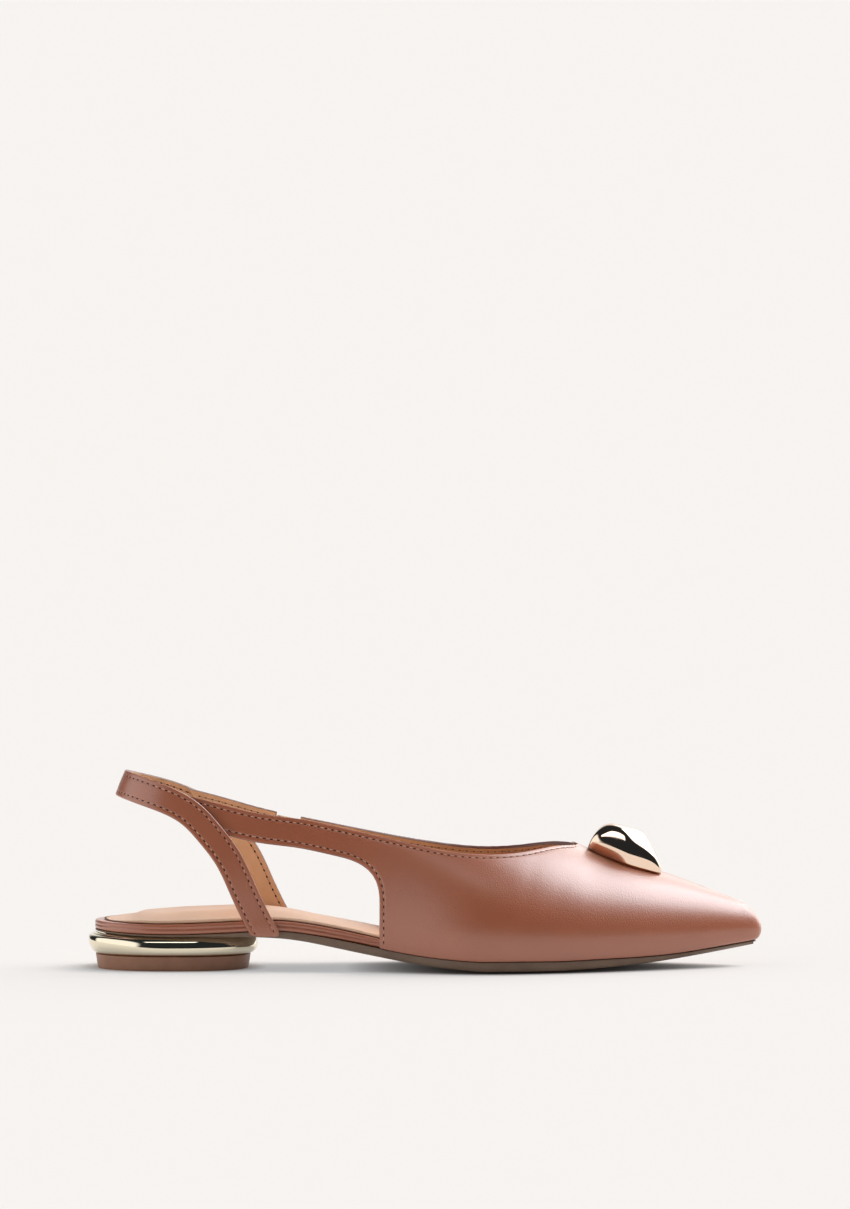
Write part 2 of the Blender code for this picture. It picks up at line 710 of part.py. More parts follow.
RIM_INSET = UPPER_WALL + GAP  # the board stands inside the upper's wall
CAMBER_RUN = (0.34 * SHOE_LENGTH, 0.46 * SHOE_LENGTH)
SOLE_INSET = ((0.0, 3.6 * MM), (0.26, 2.2 * MM), (0.33, 2.1 * MM), (0.40, 0.7 * MM), (1.0, 0.5 * MM))


def build_outsole():
    """Thin moulded sole from toe to heel seat, with a rounded lower edge."""

    def inset(extra):
        return lambda x: ramp(x, SOLE_INSET) + extra

    def top(ring, _):
        return sole_top(ring[:, 0])

    def lower(share, camber=1.0):
        def height(ring, _):
            x = ring[:, 0]
            raised = np.minimum(SOLE_EDGE_ROUND, 0.4 * thickness_curve(x)) * share
            return sole_bottom(x) + raised + SOLE_CAMBER * camber * smooth_step(x, *CAMBER_RUN)

        return height

    loops = [
        (inset(0), 1.0, top),
        (inset(0), 0.5, top),
        (inset(0), 0.0, top),
        (inset(0.2 * MM), 0.0, lower(1.0)),
        (inset(1.2 * MM), 0.0, lower(0.35)),
        (inset(3.4 * MM), 0.0, lower(0.0)),
        (inset(3.4 * MM), 0.3, lower(0.0, 0.3)),
        (inset(3.4 * MM), 0.55, lower(0.0, 0.0)),
        (inset(3.4 * MM), 1.0, lower(0.0, 0.0)),
    ]
    return plate("outsole", loops, (0.22, 0.15, 0.10), 0.6)


def board_bottom(x):
    return sole_top(x) + GAP


def board_top(x):
    return board_bottom(x) + board_curve(x)


def build_board():
    """Insole board wrapped in the upper's leather; its edge shows from the vamp to the heel."""

    def inset(extra):
        return lambda x: RIM_INSET + extra + 0 * x

    def level(share, drop=0.0):
        def height(ring, _):
            x = ring[:, 0]
            return board_bottom(x) + board_curve(x) * share - drop

        return height

    loops = [
        (inset(0), 1.0, level(1)),
        (inset(0), 0.5, level(1)),
        (inset(0.9 * MM), 0.0, level(1)),
        (inset(0.1 * MM), 0.0, level(0.82)),
        (inset(0), 0.0, level(0.5)),
        (inset(0.3 * MM), 0.0, level(0)),
        (inset(0), 0.5, level(0)),
        (inset(0), 1.0, level(0)),
    ]
    return plate("insole_board", loops, (0.42, 0.18, 0.11), 0.4)


def build_sock():
    """Leather sock over foam: thin at its edge, cushioned under the heel."""

    def inset(extra):
        margins = ((0.0, SOCK_BACK_MARGIN), (0.03, SOCK_BACK_MARGIN), (0.10, SOCK_MARGIN), (1.0, SOCK_MARGIN))
        return lambda x: RIM_INSET + ramp(x, margins) + extra

    def base(ring, _):
        return board_top(ring[:, 0]) + GAP

    def pad(fullness):
        def height(ring, _):
            x = ring[:, 0]
            back = smooth_step(x, 0.045 * SHOE_LENGTH, 0.105 * SHOE_LENGTH)
            front = 1 - smooth_step(x, 0.20 * SHOE_LENGTH, 0.42 * SHOE_LENGTH)
            return board_top(x) + GAP + SOCK_THICKNESS + HEEL_PAD_RISE * back * front * fullness

        return height

    loops = [
        (inset(0), 1.0, pad(1.0)),
        (inset(0), 0.66, pad(0.97)),
        (inset(0), 0.36, pad(0.80)),
        (inset(2.6 * MM), 0.0, pad(0.26)),
        (inset(0.4 * MM), 0.0, pad(0.0)),
        (inset(0), 0.0, base),
        (inset(0), 0.5, base),
        (inset(0), 1.0, base),
    ]
    return plate("sock", loops, (0.78, 0.50, 0.34), 0.55)


HEEL_FULLNESS = 2.35
HEEL_CENTRE_Y = 0.036
HEEL_SEGMENTS = 56
HEEL_SPINE = 11 * MM


def heel_ring(inset):
    """A ring of the heel's oval, moved in by an inset."""
    half_long, half_wide = HEEL_LENGTH / 2 - inset, HEEL_WIDTH / 2 - inset
    centre = Vector((HEEL_LENGTH / 2, HEEL_CENTRE_Y * BALL_WIDTH))
    ring = []
    for i in range(HEEL_SEGMENTS):
        angle = 2 * math.pi * i / HEEL_SEGMENTS
        cos, sin = math.cos(angle), math.sin(angle)
        ring.append(
            (
                centre.x + half_long * math.copysign(abs(cos) ** (2 / HEEL_FULLNESS), cos),
                centre.y + half_wide * math.copysign(abs(sin) ** (2 / HEEL_FULLNESS), sin),
            )
        )
    return np.array(ring)


def stacked(name, rings, colour, metallic, roughness):
    """A piece skinned over rings of the heel's oval, closed by a fan at each end."""
    count = HEEL_SEGMENTS
    points, faces = [], []
    for ring in rings:
        points.extend(ring)
    for k in range(len(rings) - 1):
        for i in range(count):
            j = (i + 1) % count
            faces.append((k * count + i, k * count + j, (k + 1) * count + j, (k + 1) * count + i))
    for k in (0, len(rings) - 1):
        middle = len(points)
        points.append(np.mean(rings[k], axis=0))
        faces += [(k * count + i, k * count + (i + 1) % count, middle) for i in range(count)]
    return finished(name, mesh_of(name, points, faces), colour, metallic, roughness)


HEEL_SIDE = (
    ("seat", 1.00, 1.55),
    ("seat edge", 0.985, 0.95),
    ("shoulder", 0.93, 0.42),
    ("upper bulge", 0.82, 0.10),
    ("fullest", 0.67, 0.00),
    ("lower bulge", 0.48, 0.06),
    ("tuck", 0.28, 0.30),
    ("lower tuck", 0.12, 0.62),
    ("base", 0.00, 0.98),
)


def build_heel():
    """Hollow-looking metal pebble under the seat, on a moulded top piece."""
    base = TOP_PIECE_HEIGHT + GAP
    rings = []
    for name, level, drawn_in in HEEL_SIDE:
        ring = heel_ring(HEEL_ROUND * drawn_in)
        seat = sole_bottom(ring[:, 0]) - GAP
        rings.append(np.column_stack([ring, base + (seat - base) * level]))
    inner = heel_ring(HEEL_ROUND * HEEL_SIDE[0][2] + HEEL_SPINE)
    rings.insert(0, np.column_stack([inner, sole_bottom(inner[:, 0]) - GAP]))
    stacked("heel_block", rings, (0.80, 0.70, 0.48), 1.0, 0.08)
    piece = []
    for height, inset in (
        (TOP_PIECE_HEIGHT, HEEL_ROUND),
        (0.6 * MM, HEEL_ROUND + TOP_PIECE_TAPER * 0.9),
        (0.0, HEEL_ROUND + TOP_PIECE_TAPER * 1.5),
    ):
        ring = heel_ring(inset)
        piece.append(np.column_stack([ring, np.full(len(ring), height)]))
    stacked("top_piece", piece, (0.24, 0.12, 0.07), 0.0, 0.5)


ORNAMENT_TURNS = 28
ORNAMENT_RINGS = 9


def ornament_reach(direction):
    """How far the soft-edged ornament reaches from its middle in one direction."""
    total = 0.0
    for _, turn, tilt, distance in ORNAMENT_FACETS:
        turn, tilt = math.radians(turn), math.radians(tilt)
        facing = (math.cos(tilt) * math.cos(turn), math.cos(tilt) * math.sin(turn), math.sin(tilt))
        total += max(0.0, sum(a * b for a, b in zip(facing, direction)) / distance) ** ORNAMENT_EDGE
    return total ** (-1 / ORNAMENT_EDGE)


def vamp_under(x, y):
    """Height of the vamp at a plan point near its middle line."""
    side = "lateral" if y < float(crown_curves()[0](x)[0]) else "medial"
    place = place_at_crown(side, x)
    place, rise = nudge(place, 0.85, (x, y, 0.0), axes=(0, 1), rounds=12)
    return float(last(place, rise)[0, 2])


def build_ornament():
    """Polished soft-faceted pebble that sits over the throat end of the vamp."""
    centre_x = ORNAMENT_CENTRE * SHOE_LENGTH
    crown_y, crown_z = crown_curves()
    middle = np.array([centre_x, float(crown_y(centre_x)[0]), float(crown_z(centre_x)[0])])
    step = 9 * MM
    slope = (crown_z(centre_x + step) - crown_z(centre_x - step))[0] / (2 * step)
    forward = np.array([1.0, 0.0, slope]) / math.hypot(1.0, slope)
    up = np.array([-slope, 0.0, 1.0]) / math.hypot(1.0, slope)
    across = np.array([0.0, 1.0, 0.0])
    points, faces = [], []
    for k in range(ORNAMENT_RINGS + 1):
        tilt = math.radians(90) * (k / ORNAMENT_RINGS)
        for i in range(ORNAMENT_TURNS):
            turn = 2 * math.pi * i / ORNAMENT_TURNS
            direction = (math.cos(tilt) * math.cos(turn), math.cos(tilt) * math.sin(turn), math.sin(tilt))
            reach = ornament_reach(direction)
            local = [part * reach for part in direction]
            point = middle + forward * local[0] + across * local[1] + up * local[2]
            if k == 0:
                point[2] = vamp_under(point[0], point[1]) + GAP
            points.append(point)
    for k in range(ORNAMENT_RINGS):
        for i in range(ORNAMENT_TURNS):
            j = (i + 1) % ORNAMENT_TURNS
            a, b = k * ORNAMENT_TURNS, (k + 1) * ORNAMENT_TURNS
            faces.append((a + i, a + j, b + j, b + i))
    rim = [np.array(p) for p in points[:ORNAMENT_TURNS]]
    for share in (0.66, 0.33):
        start = len(points)
        for p in rim:
            x, y = middle[0] + (p[0] - middle[0]) * share, middle[1] + (p[1] - middle[1]) * share
            points.append(np.array([x, y, vamp_under(x, y) + GAP]))
        outer = 0 if share == 0.66 else start - ORNAMENT_TURNS
        for i in range(ORNAMENT_TURNS):
            j = (i + 1) % ORNAMENT_TURNS
            faces.append((outer + i, start + i, start + j, outer + j))
    hub = len(points)
    points.append(np.array([middle[0], middle[1], middle[2] + GAP]))
    start = hub - ORNAMENT_TURNS
    faces += [(start + i, hub, start + (i + 1) % ORNAMENT_TURNS) for i in range(ORNAMENT_TURNS)]
    return finished("ornament", mesh_of("ornament", points, faces), (0.80, 0.62, 0.42), 1.0, 0.06)


for old in list(bpy.data.objects):
    bpy.data.objects.remove(old)
PIECES = bpy.data.collections.new("sling_back_flat")
bpy.context.scene.collection.children.link(PIECES)

build_outsole()
build_board()
build_sock()
build_heel()
build_upper()
build_medial_strap()
build_sling()
build_ornament()
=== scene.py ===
import math

import bmesh
import bpy
import numpy as np
from mathutils import Matrix, Vector


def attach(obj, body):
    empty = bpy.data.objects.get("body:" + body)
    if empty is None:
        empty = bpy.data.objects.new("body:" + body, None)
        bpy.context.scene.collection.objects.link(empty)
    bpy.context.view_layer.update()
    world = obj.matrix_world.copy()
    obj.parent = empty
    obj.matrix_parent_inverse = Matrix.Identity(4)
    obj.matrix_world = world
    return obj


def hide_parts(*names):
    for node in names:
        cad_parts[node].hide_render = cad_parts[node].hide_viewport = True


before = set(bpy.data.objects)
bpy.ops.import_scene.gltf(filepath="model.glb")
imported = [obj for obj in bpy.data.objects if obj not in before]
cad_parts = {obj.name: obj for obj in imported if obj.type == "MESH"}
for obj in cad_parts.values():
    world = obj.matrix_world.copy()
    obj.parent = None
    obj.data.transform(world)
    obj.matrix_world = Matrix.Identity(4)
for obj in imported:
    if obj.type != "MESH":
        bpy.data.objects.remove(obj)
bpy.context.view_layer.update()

# The outsole is one thin moulded sheet, matt and taupe, cemented under the whole shoe.
# It follows the feather line of the last, lifts at the waist and the toe, and its lower edge is rounded.
MM = 0.001
SHOE_LENGTH = 262 * MM
BALL_WIDTH = 78 * MM
SEAT_LIFT = 13.5 * MM
TOE_SPRING = 9.4 * MM
SOLE_THICKNESS = 4.7 * MM
BOARD_THICKNESS = 3.9 * MM
GAP = 0.3 * MM

# share of the length from the back, share of the ball width from the middle
FEATHER_LINE = (
    ("heel back", 0.0030, 0.040),
    ("heel back lateral", 0.0150, -0.135),
    ("heel lateral", 0.0540, -0.275),
    ("seat lateral", 0.1250, -0.333),
    ("breast lateral", 0.2350, -0.330),
    ("waist lateral", 0.3500, -0.318),
    ("joint lateral", 0.4550, -0.390),
    ("ball lateral", 0.5900, -0.500),
    ("little toe", 0.7000, -0.432),
    ("toe lateral", 0.8100, -0.276),
    ("tip lateral", 0.9100, -0.092),
    ("tip corner lateral", 0.9757, 0.033),
    ("toe tip", 0.9955, 0.090),
    ("tip corner medial", 0.9760, 0.158),
    ("tip medial", 0.9150, 0.248),
    ("toe medial", 0.8250, 0.372),
    ("big toe joint", 0.7250, 0.468),
    ("ball medial", 0.6250, 0.500),
    ("joint medial", 0.5000, 0.420),
    ("waist medial", 0.3750, 0.340),
    ("breast medial", 0.2400, 0.378),
    ("seat medial", 0.1250, 0.410),
    ("heel medial", 0.0540, 0.354),
    ("heel back medial", 0.0150, 0.212),
)
# share of the length, shares of the seat lift, toe spring, sole thickness and board thickness
SOLE_PROFILE = (
    ("heel back", 0.000, 1.015, 0.00, 0.31, 0.87),
    ("seat", 0.120, 0.950, 0.00, 0.31, 1.00),
    ("breast", 0.230, 0.975, 0.00, 0.44, 1.04),
    ("waist back", 0.290, 0.935, 0.00, 0.60, 1.00),
    ("waist", 0.350, 0.745, 0.00, 0.71, 0.98),
    ("waist front", 0.410, 0.480, 0.00, 0.86, 0.92),
    ("joint", 0.460, 0.280, 0.00, 0.90, 0.85),
    ("ball back", 0.520, 0.110, 0.00, 0.93, 0.75),
    ("ball", 0.600, -0.010, 0.00, 1.00, 0.70),
    ("ball front", 0.700, 0.000, 0.000, 0.97, 0.65),
    ("toe back", 0.790, 0.000, 0.123, 0.84, 0.60),
    ("toe", 0.860, 0.000, 0.315, 0.60, 0.55),
    ("toe front", 0.930, 0.000, 0.616, 0.42, 0.50),
    ("toe tip", 0.9955, 0.000, 0.950, 0.25, 0.50),
)


class Smooth:
    """A cubic curve through rows of numbers with no jump in its bend.

    A closed one repeats its first row last.
    """

    def __init__(self, knots, values, closed=False):
        self.knots = np.array(knots, float)
        self.values = np.array(values, float).reshape(len(knots), -1)
        count = len(knots)
        steps = np.diff(self.knots)
        slopes = np.diff(self.values, axis=0) / steps[:, None]
        matrix = np.eye(count)
        right = np.zeros_like(self.values)
        for i in range(1, count - 1):
            matrix[i, i - 1 : i + 2] = steps[i - 1], 2 * (steps[i - 1] + steps[i]), steps[i]
            right[i] = 6 * (slopes[i] - slopes[i - 1])
        if closed:
            matrix[0, :2] = 2 * (steps[-1] + steps[0]), steps[0]
            matrix[0, count - 2] = steps[-1]
            right[0] = 6 * (slopes[0] - slopes[-1])
            matrix[count - 1, 0] = -1
        self.bends = np.linalg.solve(matrix, right)

    def __call__(self, at):
        at = np.atleast_1d(np.asarray(at, float))
        i = np.clip(np.searchsorted(self.knots, at, side="right") - 1, 0, len(self.knots) - 2)
        step = self.knots[i + 1] - self.knots[i]
        ahead = ((at - self.knots[i]) / step)[:, None]
        back = 1 - ahead
        step = step[:, None]
        found = back * self.values[i] + ahead * self.values[i + 1]
        found += ((back**3 - back) * self.bends[i] + (ahead**3 - ahead) * self.bends[i + 1]) * step**2 / 6
        return found[:, 0] if found.shape[1] == 1 else found


def along_shoe(table, column, size):
    """A smooth curve of one column of a table along the length of the shoe."""
    return Smooth([row[1] * SHOE_LENGTH for row in table], [row[column] * size for row in table])


lift = along_shoe(SOLE_PROFILE, 2, SEAT_LIFT)
spring = along_shoe(SOLE_PROFILE, 3, TOE_SPRING)
sole_thickness = along_shoe(SOLE_PROFILE, 4, SOLE_THICKNESS)
board_thickness = along_shoe(SOLE_PROFILE, 5, BOARD_THICKNESS)


def sole_bottom(x):
    return np.maximum(0.0, lift(x) + spring(x))


def sole_top(x):
    return sole_bottom(x) + sole_thickness(x)


def feather_sides(samples=1600):
    """The feather line as two dense runs from toe tip to heel back, with the way inwards."""
    points = np.array([(row[1] * SHOE_LENGTH, row[2] * BALL_WIDTH) for row in FEATHER_LINE])
    points = np.vstack([points, points[:1]])
    chords = np.concatenate([[0], np.cumsum(np.linalg.norm(np.diff(points, axis=0), axis=1))])
    outline = Smooth(chords, points, closed=True)
    tip = chords[[row[0] for row in FEATHER_LINE].index("toe tip")]
    sides = []
    for end, turn in ((0, -1), (chords[-1], 1)):
        run = outline(np.linspace(tip, end, samples))
        along = np.concatenate([[0], np.cumsum(np.linalg.norm(np.diff(run, axis=0), axis=1))])
        heading = np.gradient(run, along, axis=0)
        heading /= np.linalg.norm(heading, axis=1)[:, None]
        inward = np.stack([-heading[:, 1], heading[:, 0]], axis=1) * turn
        sides.append((along, run, inward))
    return sides


FEATHER = feather_sides()
PLATE_STATIONS = 150


def plate_ring(inset, towards_spine):
    """A ring of plan points: the feather line moved in by inset(x), then part of the way to the spine."""
    edges = []
    for along, run, inward in FEATHER:
        at = np.linspace(0, along[-1], PLATE_STATIONS + 1)
        foot = np.column_stack([np.interp(at, along, run[:, k]) for k in (0, 1)])
        facing = np.column_stack([np.interp(at, along, inward[:, k]) for k in (0, 1)])
        edges.append(foot + facing * inset(foot[:, 0])[:, None])
    spine = (edges[0] + edges[1]) / 2
    lateral, medial = [edge + (spine - edge) * towards_spine for edge in edges]
    return np.vstack([lateral, medial[-2:0:-1]])


def ring_faces(rings, count):
    """Quads between closed rings of points that follow one another."""
    faces = []
    for k in range(rings - 1):
        for i in range(count):
            j = (i + 1) % count
            faces.append((k * count + i, k * count + j, (k + 1) * count + j, (k + 1) * count + i))
    return faces


def put(name, points, faces, materials, node=None, paint=None):
    """Makes one closed piece from points measured from the back of the heel, in its finish and place."""
    mesh = bpy.data.meshes.new(name)
    mesh.from_pydata([tuple(p) for p in points], [], faces)
    if paint is not None:
        mesh.polygons.foreach_set("material_index", paint)
    work = bmesh.new()
    work.from_mesh(mesh)
    bmesh.ops.remove_doubles(work, verts=work.verts, dist=0.00001)
    bmesh.ops.recalc_face_normals(work, faces=work.faces)
    if work.calc_volume(signed=True) < 0:
        bmesh.ops.reverse_faces(work, faces=work.faces)
    work.to_mesh(mesh)
    work.free()
    mesh.transform(Matrix.Translation((-SHOE_LENGTH / 2, 0, 0)))
    for material in materials:
        mesh.materials.append(material)
    mesh.shade_smooth()
    obj = bpy.data.objects.new(name, mesh)
    bpy.context.scene.collection.objects.link(obj)
    if node:
        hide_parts(node)
    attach(obj, "root")
    return obj


def plate(name, rings, materials, node):
    """A flat piece of the bottom, skinned over rings that run from its upper to its lower spine."""
    points = []
    for inset, towards_spine, height in rings:
        ring = plate_ring(inset, towards_spine)
        points.extend(np.column_stack([ring, height(ring[:, 0], ring[:, 1])]))
    return put(name, points, ring_faces(len(rings), 2 * PLATE_STATIONS), materials, node)


def ramp(x, pairs):
    """A straight-sided curve through pairs of a share of the length and a value."""
    return np.interp(x, [a * SHOE_LENGTH for a, _ in pairs], [b for _, b in pairs])


def ease(value, low, high):
    share = np.clip((value - low) / (high - low), 0, 1)
    return share * share * (3 - 2 * share)


def shaded(name, roughness, metallic=0.0):
    """A new material, its node tree and its shader."""
    material = bpy.data.materials.new(name)
    material.use_nodes = True
    tree = material.node_tree
    shader = tree.nodes["Principled BSDF"]
    shader.inputs["Roughness"].default_value = roughness
    shader.inputs["Metallic"].default_value = metallic
    return material, tree, shader


def add_node(tree, kind, **settings):
    """A node with its sockets and properties set by name."""
    node = tree.nodes.new(kind)
    for key, value in settings.items():
        if key in node.inputs:
            node.inputs[key].default_value = value
        else:
            setattr(node, key, value)
    return node


def effect(name, inputs, outputs):
    """An empty shader group with named sockets, each given as its kind and first value."""
    group = bpy.data.node_groups.new(name, "ShaderNodeTree")
    for socket, (kind, preset) in inputs.items():
        made = group.interface.new_socket(name=socket, in_out="INPUT", socket_type=f"NodeSocket{kind}")
        made.default_value = preset
    for socket, kind in outputs.items():
        group.interface.new_socket(name=socket, in_out="OUTPUT", socket_type=f"NodeSocket{kind}")
    return group, group.nodes.new("NodeGroupInput"), group.nodes.new("NodeGroupOutput")


def maths(tree, operation, *values, kind="ShaderNodeMath"):
    """A node that reckons with plain values and with what other nodes put out."""
    node = add_node(tree, kind, operation=operation)
    for value, socket in zip(values, node.inputs):
        if isinstance(value, bpy.types.NodeSocket):
            tree.links.new(value, socket)
        else:
            socket.default_value = value
    return node.outputs[0]


def texture(tree, kind, **settings):
    """A texture laid through the piece in its own coordinates."""
    where = add_node(tree, "ShaderNodeTexCoord")
    node = add_node(tree, kind, **settings)
    tree.links.new(where.outputs["Object"], node.inputs["Vector"])
    return node


def sized(group, pattern, size, share=1.0):
    """Gives a texture in a group the size that comes in at a socket."""
    group.links.new(maths(group, "DIVIDE", share, size), pattern.inputs["Scale"])


def stepped(tree, value, low, high, kind="LINEAR"):
    """A mask that goes from none to full as a value goes from low to high."""
    mask = add_node(tree, "ShaderNodeMapRange", interpolation_type=kind)
    mask.inputs["From Min"].default_value = low
    mask.inputs["From Max"].default_value = high
    tree.links.new(value, mask.inputs["Value"])
    return mask.outputs["Result"]


def tone_patches():
    """Soft patches of two tones, one drifting into the other."""
    black = (0.0, 0.0, 0.0, 1.0)
    sockets = {"Light": ("Color", black), "Dark": ("Color", black), "Patch Size": ("Float", 9 * MM)}
    group, inside, outside = effect("tone_patches", sockets, {"Color": "Color"})
    noise = texture(group, "ShaderNodeTexNoise", Detail=4.0)
    sized(group, noise, inside.outputs["Patch Size"])
    mix = add_node(group, "ShaderNodeMix", data_type="RGBA")
    group.links.new(stepped(group, noise.outputs["Fac"], 0.35, 0.65), mix.inputs["Factor"])
    group.links.new(inside.outputs["Dark"], mix.inputs[6])
    group.links.new(inside.outputs["Light"], mix.inputs[7])
    group.links.new(mix.outputs[2], outside.inputs["Color"])
    return group


patches = tone_patches()


def patched(name, roughness, light, dark, size):
    """A plain finish whose colour drifts between two tones in patches of one size."""
    material, tree, shader = shaded(name, roughness)
    tones = add_node(tree, "ShaderNodeGroup", node_tree=patches)
    tones.inputs["Light"].default_value = (*light, 1)
    tones.inputs["Dark"].default_value = (*dark, 1)
    tones.inputs["Patch Size"].default_value = size
    tree.links.new(tones.outputs["Color"], shader.inputs["Base Color"])
    return material, tree, shader


def in_relief(tree, shader, height, strength, depth):
    """Lets a height stand out of the surface as fine relief."""
    bump = add_node(tree, "ShaderNodeBump", Strength=strength, Distance=depth)
    tree.links.new(height, bump.inputs["Height"])
    tree.links.new(bump.outputs["Normal"], shader.inputs["Normal"])


outsole_finish, tree, shader = patched(
    "outsole_rubber", 0.55, (0.20, 0.128, 0.085), (0.165, 0.103, 0.068), 9 * MM
)
fine = texture(tree, "ShaderNodeTexNoise", Scale=1 / (0.5 * MM), Detail=3.0)
in_relief(tree, shader, fine.outputs["Fac"], 0.25, 0.05 * MM)

SOLE_EDGE_ROUND = 1.3 * MM
SOLE_CAMBER = 0.8 * MM
SOLE_INSET = ((0.0, 2.0 * MM), (0.26, 1.8 * MM), (0.33, 1.9 * MM), (0.40, 0.7 * MM), (1.0, 0.5 * MM))
CAMBER_RUN = (0.34 * SHOE_LENGTH, 0.46 * SHOE_LENGTH)
TIP_NARROWING = ((0.0, 1.0), (0.90, 1.0), (0.95, 0.6), (0.98, 0.3), (1.0, 0.25))
SEAT_STEP = ((0.0, 2.0 * MM), (0.235, 2.0 * MM), (0.275, 0.0), (1.0, 0.0))


def sole_edge(extra, step=0.0):
    """How far a ring of the outsole lies inside the feather line."""
    return lambda x: ramp(x, SOLE_INSET) + extra * ramp(x, TIP_NARROWING) + step * ramp(x, SEAT_STEP)


def sole_side(raised, camber=1.0):
    """Height of a ring of the outsole's side or tread above its underside."""

    def height(x, y):
        edge = np.minimum(SOLE_EDGE_ROUND, 0.4 * sole_thickness(x)) * raised
        return sole_bottom(x) + edge + SOLE_CAMBER * camber * ease(x, *CAMBER_RUN)

    return height


def sole_face(above=0.0):
    """Height of a ring of the outsole's face towards the board."""
    return lambda x, y: sole_top(x) + above


plate(
    "outsole_sheet",
    [
        (sole_edge(0.6 * MM), 1.0, sole_face()),
        (sole_edge(0.6 * MM), 0.4, sole_face()),
        (sole_edge(0.45 * MM), 0.0, sole_face()),
        (sole_edge(0.3 * MM), 0.0, sole_face(0.16 * MM)),
        (sole_edge(0.1 * MM), 0.0, sole_face(0.1 * MM)),
        (sole_edge(0.0), 0.0, sole_face(-0.15 * MM)),
        (sole_edge(0.02 * MM), 0.0, sole_face(-0.35 * MM)),
        (sole_edge(0.1 * MM, 0.5), 0.0, sole_side(1.35)),
        (sole_edge(0.3 * MM, 1.0), 0.0, sole_side(0.95)),
        (sole_edge(0.8 * MM, 1.0), 0.0, sole_side(0.55)),
        (sole_edge(1.6 * MM, 1.0), 0.0, sole_side(0.22)),
        (sole_edge(2.8 * MM, 1.0), 0.0, sole_side(0.04)),
        (sole_edge(3.4 * MM, 1.0), 0.1, sole_side(0.0, 0.8)),
        (sole_edge(3.4 * MM, 1.0), 0.3, sole_side(0.0, 0.3)),
        (sole_edge(3.4 * MM, 1.0), 0.55, sole_side(0.0, 0.0)),
        (sole_edge(3.4 * MM, 1.0), 1.0, sole_side(0.0, 0.0)),
    ],
    [outsole_finish],
    "outsole",
)

# The insole board is stiff fibre wrapped in the same rose-tan leather as the upper, pulled round
# its edge and pressed in two plies, so that a fine line runs along the visible rim.
UPPER_WALL = 1.6 * MM
RIM_INSET = UPPER_WALL + GAP


def leather_grain():
    """Fine calf grain: its height, a mask of its worn, shinier tops, and a mask of drifting tone."""
    sockets = {"Pore Size": ("Float", 0.45 * MM), "Drift Size": ("Float", 14 * MM), "Depth": ("Float", 1.0)}
    masks = {"Height": "Float", "Sheen Mask": "Float", "Tone Mask": "Float"}
    group, inside, outside = effect("calf_grain", sockets, masks)
    pores = texture(group, "ShaderNodeTexVoronoi", feature="SMOOTH_F1", Smoothness=0.35, Randomness=1.0)
    sized(group, pores, inside.outputs["Pore Size"])
    creases = texture(group, "ShaderNodeTexNoise", Detail=6.0, Roughness=0.6, Distortion=0.4)
    sized(group, creases, inside.outputs["Pore Size"], 0.35)
    drift = texture(group, "ShaderNodeTexNoise", Detail=3.0, Roughness=0.5)
    sized(group, drift, inside.outputs["Drift Size"])
    both = maths(group, "MULTIPLY_ADD", creases.outputs["Fac"], 0.9, pores.outputs["Distance"])
    deep = maths(group, "MULTIPLY", both, inside.outputs["Depth"])
    group.links.new(deep, outside.inputs["Height"])
    group.links.new(creases.outputs["Fac"], outside.inputs["Sheen Mask"])
    group.links.new(drift.outputs["Fac"], outside.inputs["Tone Mask"])
    return group


calf_grain = leather_grain()


def leather(name, light, dark, roughness, pore, bump_height, sheen=0.0):
    """Smooth or napped leather: two tones that drift, fine grain, and a gloss that varies with it."""
    material, tree, shader = shaded(name, roughness)
    grain = add_node(tree, "ShaderNodeGroup", node_tree=calf_grain)
    grain.inputs["Pore Size"].default_value = pore
    tone = add_node(tree, "ShaderNodeValToRGB")
    tone.color_ramp.elements[0].position, tone.color_ramp.elements[1].position = 0.3, 0.7
    tone.color_ramp.elements[0].color = (*dark, 1)
    tone.color_ramp.elements[1].color = (*light, 1)
    tree.links.new(grain.outputs["Tone Mask"], tone.inputs["Fac"])
    tree.links.new(tone.outputs["Color"], shader.inputs["Base Color"])
    gloss = add_node(tree, "ShaderNodeMapRange")
    gloss.inputs["From Min"].default_value = 0.3
    gloss.inputs["From Max"].default_value = 0.7
    gloss.inputs["To Min"].default_value = roughness - 0.05
    gloss.inputs["To Max"].default_value = roughness + 0.06
    tree.links.new(grain.outputs["Sheen Mask"], gloss.inputs["Value"])
    tree.links.new(gloss.outputs["Result"], shader.inputs["Roughness"])
    in_relief(tree, shader, grain.outputs["Height"], 0.5, bump_height)
    shader.inputs["Sheen Weight"].default_value = sheen
    return material


rose_leather = leather(
    "rose_tan_calf", (0.42, 0.117, 0.047), (0.393, 0.108, 0.043), 0.44, 0.5 * MM, 0.17 * MM
)
shader = rose_leather.node_tree.nodes["Principled BSDF"]
shader.inputs["Specular IOR Level"].default_value = 0.5
shader.inputs["Coat Weight"].default_value = 1.0
shader.inputs["Coat Roughness"].default_value = 0.31
shader.inputs["Coat IOR"].default_value = 1.7

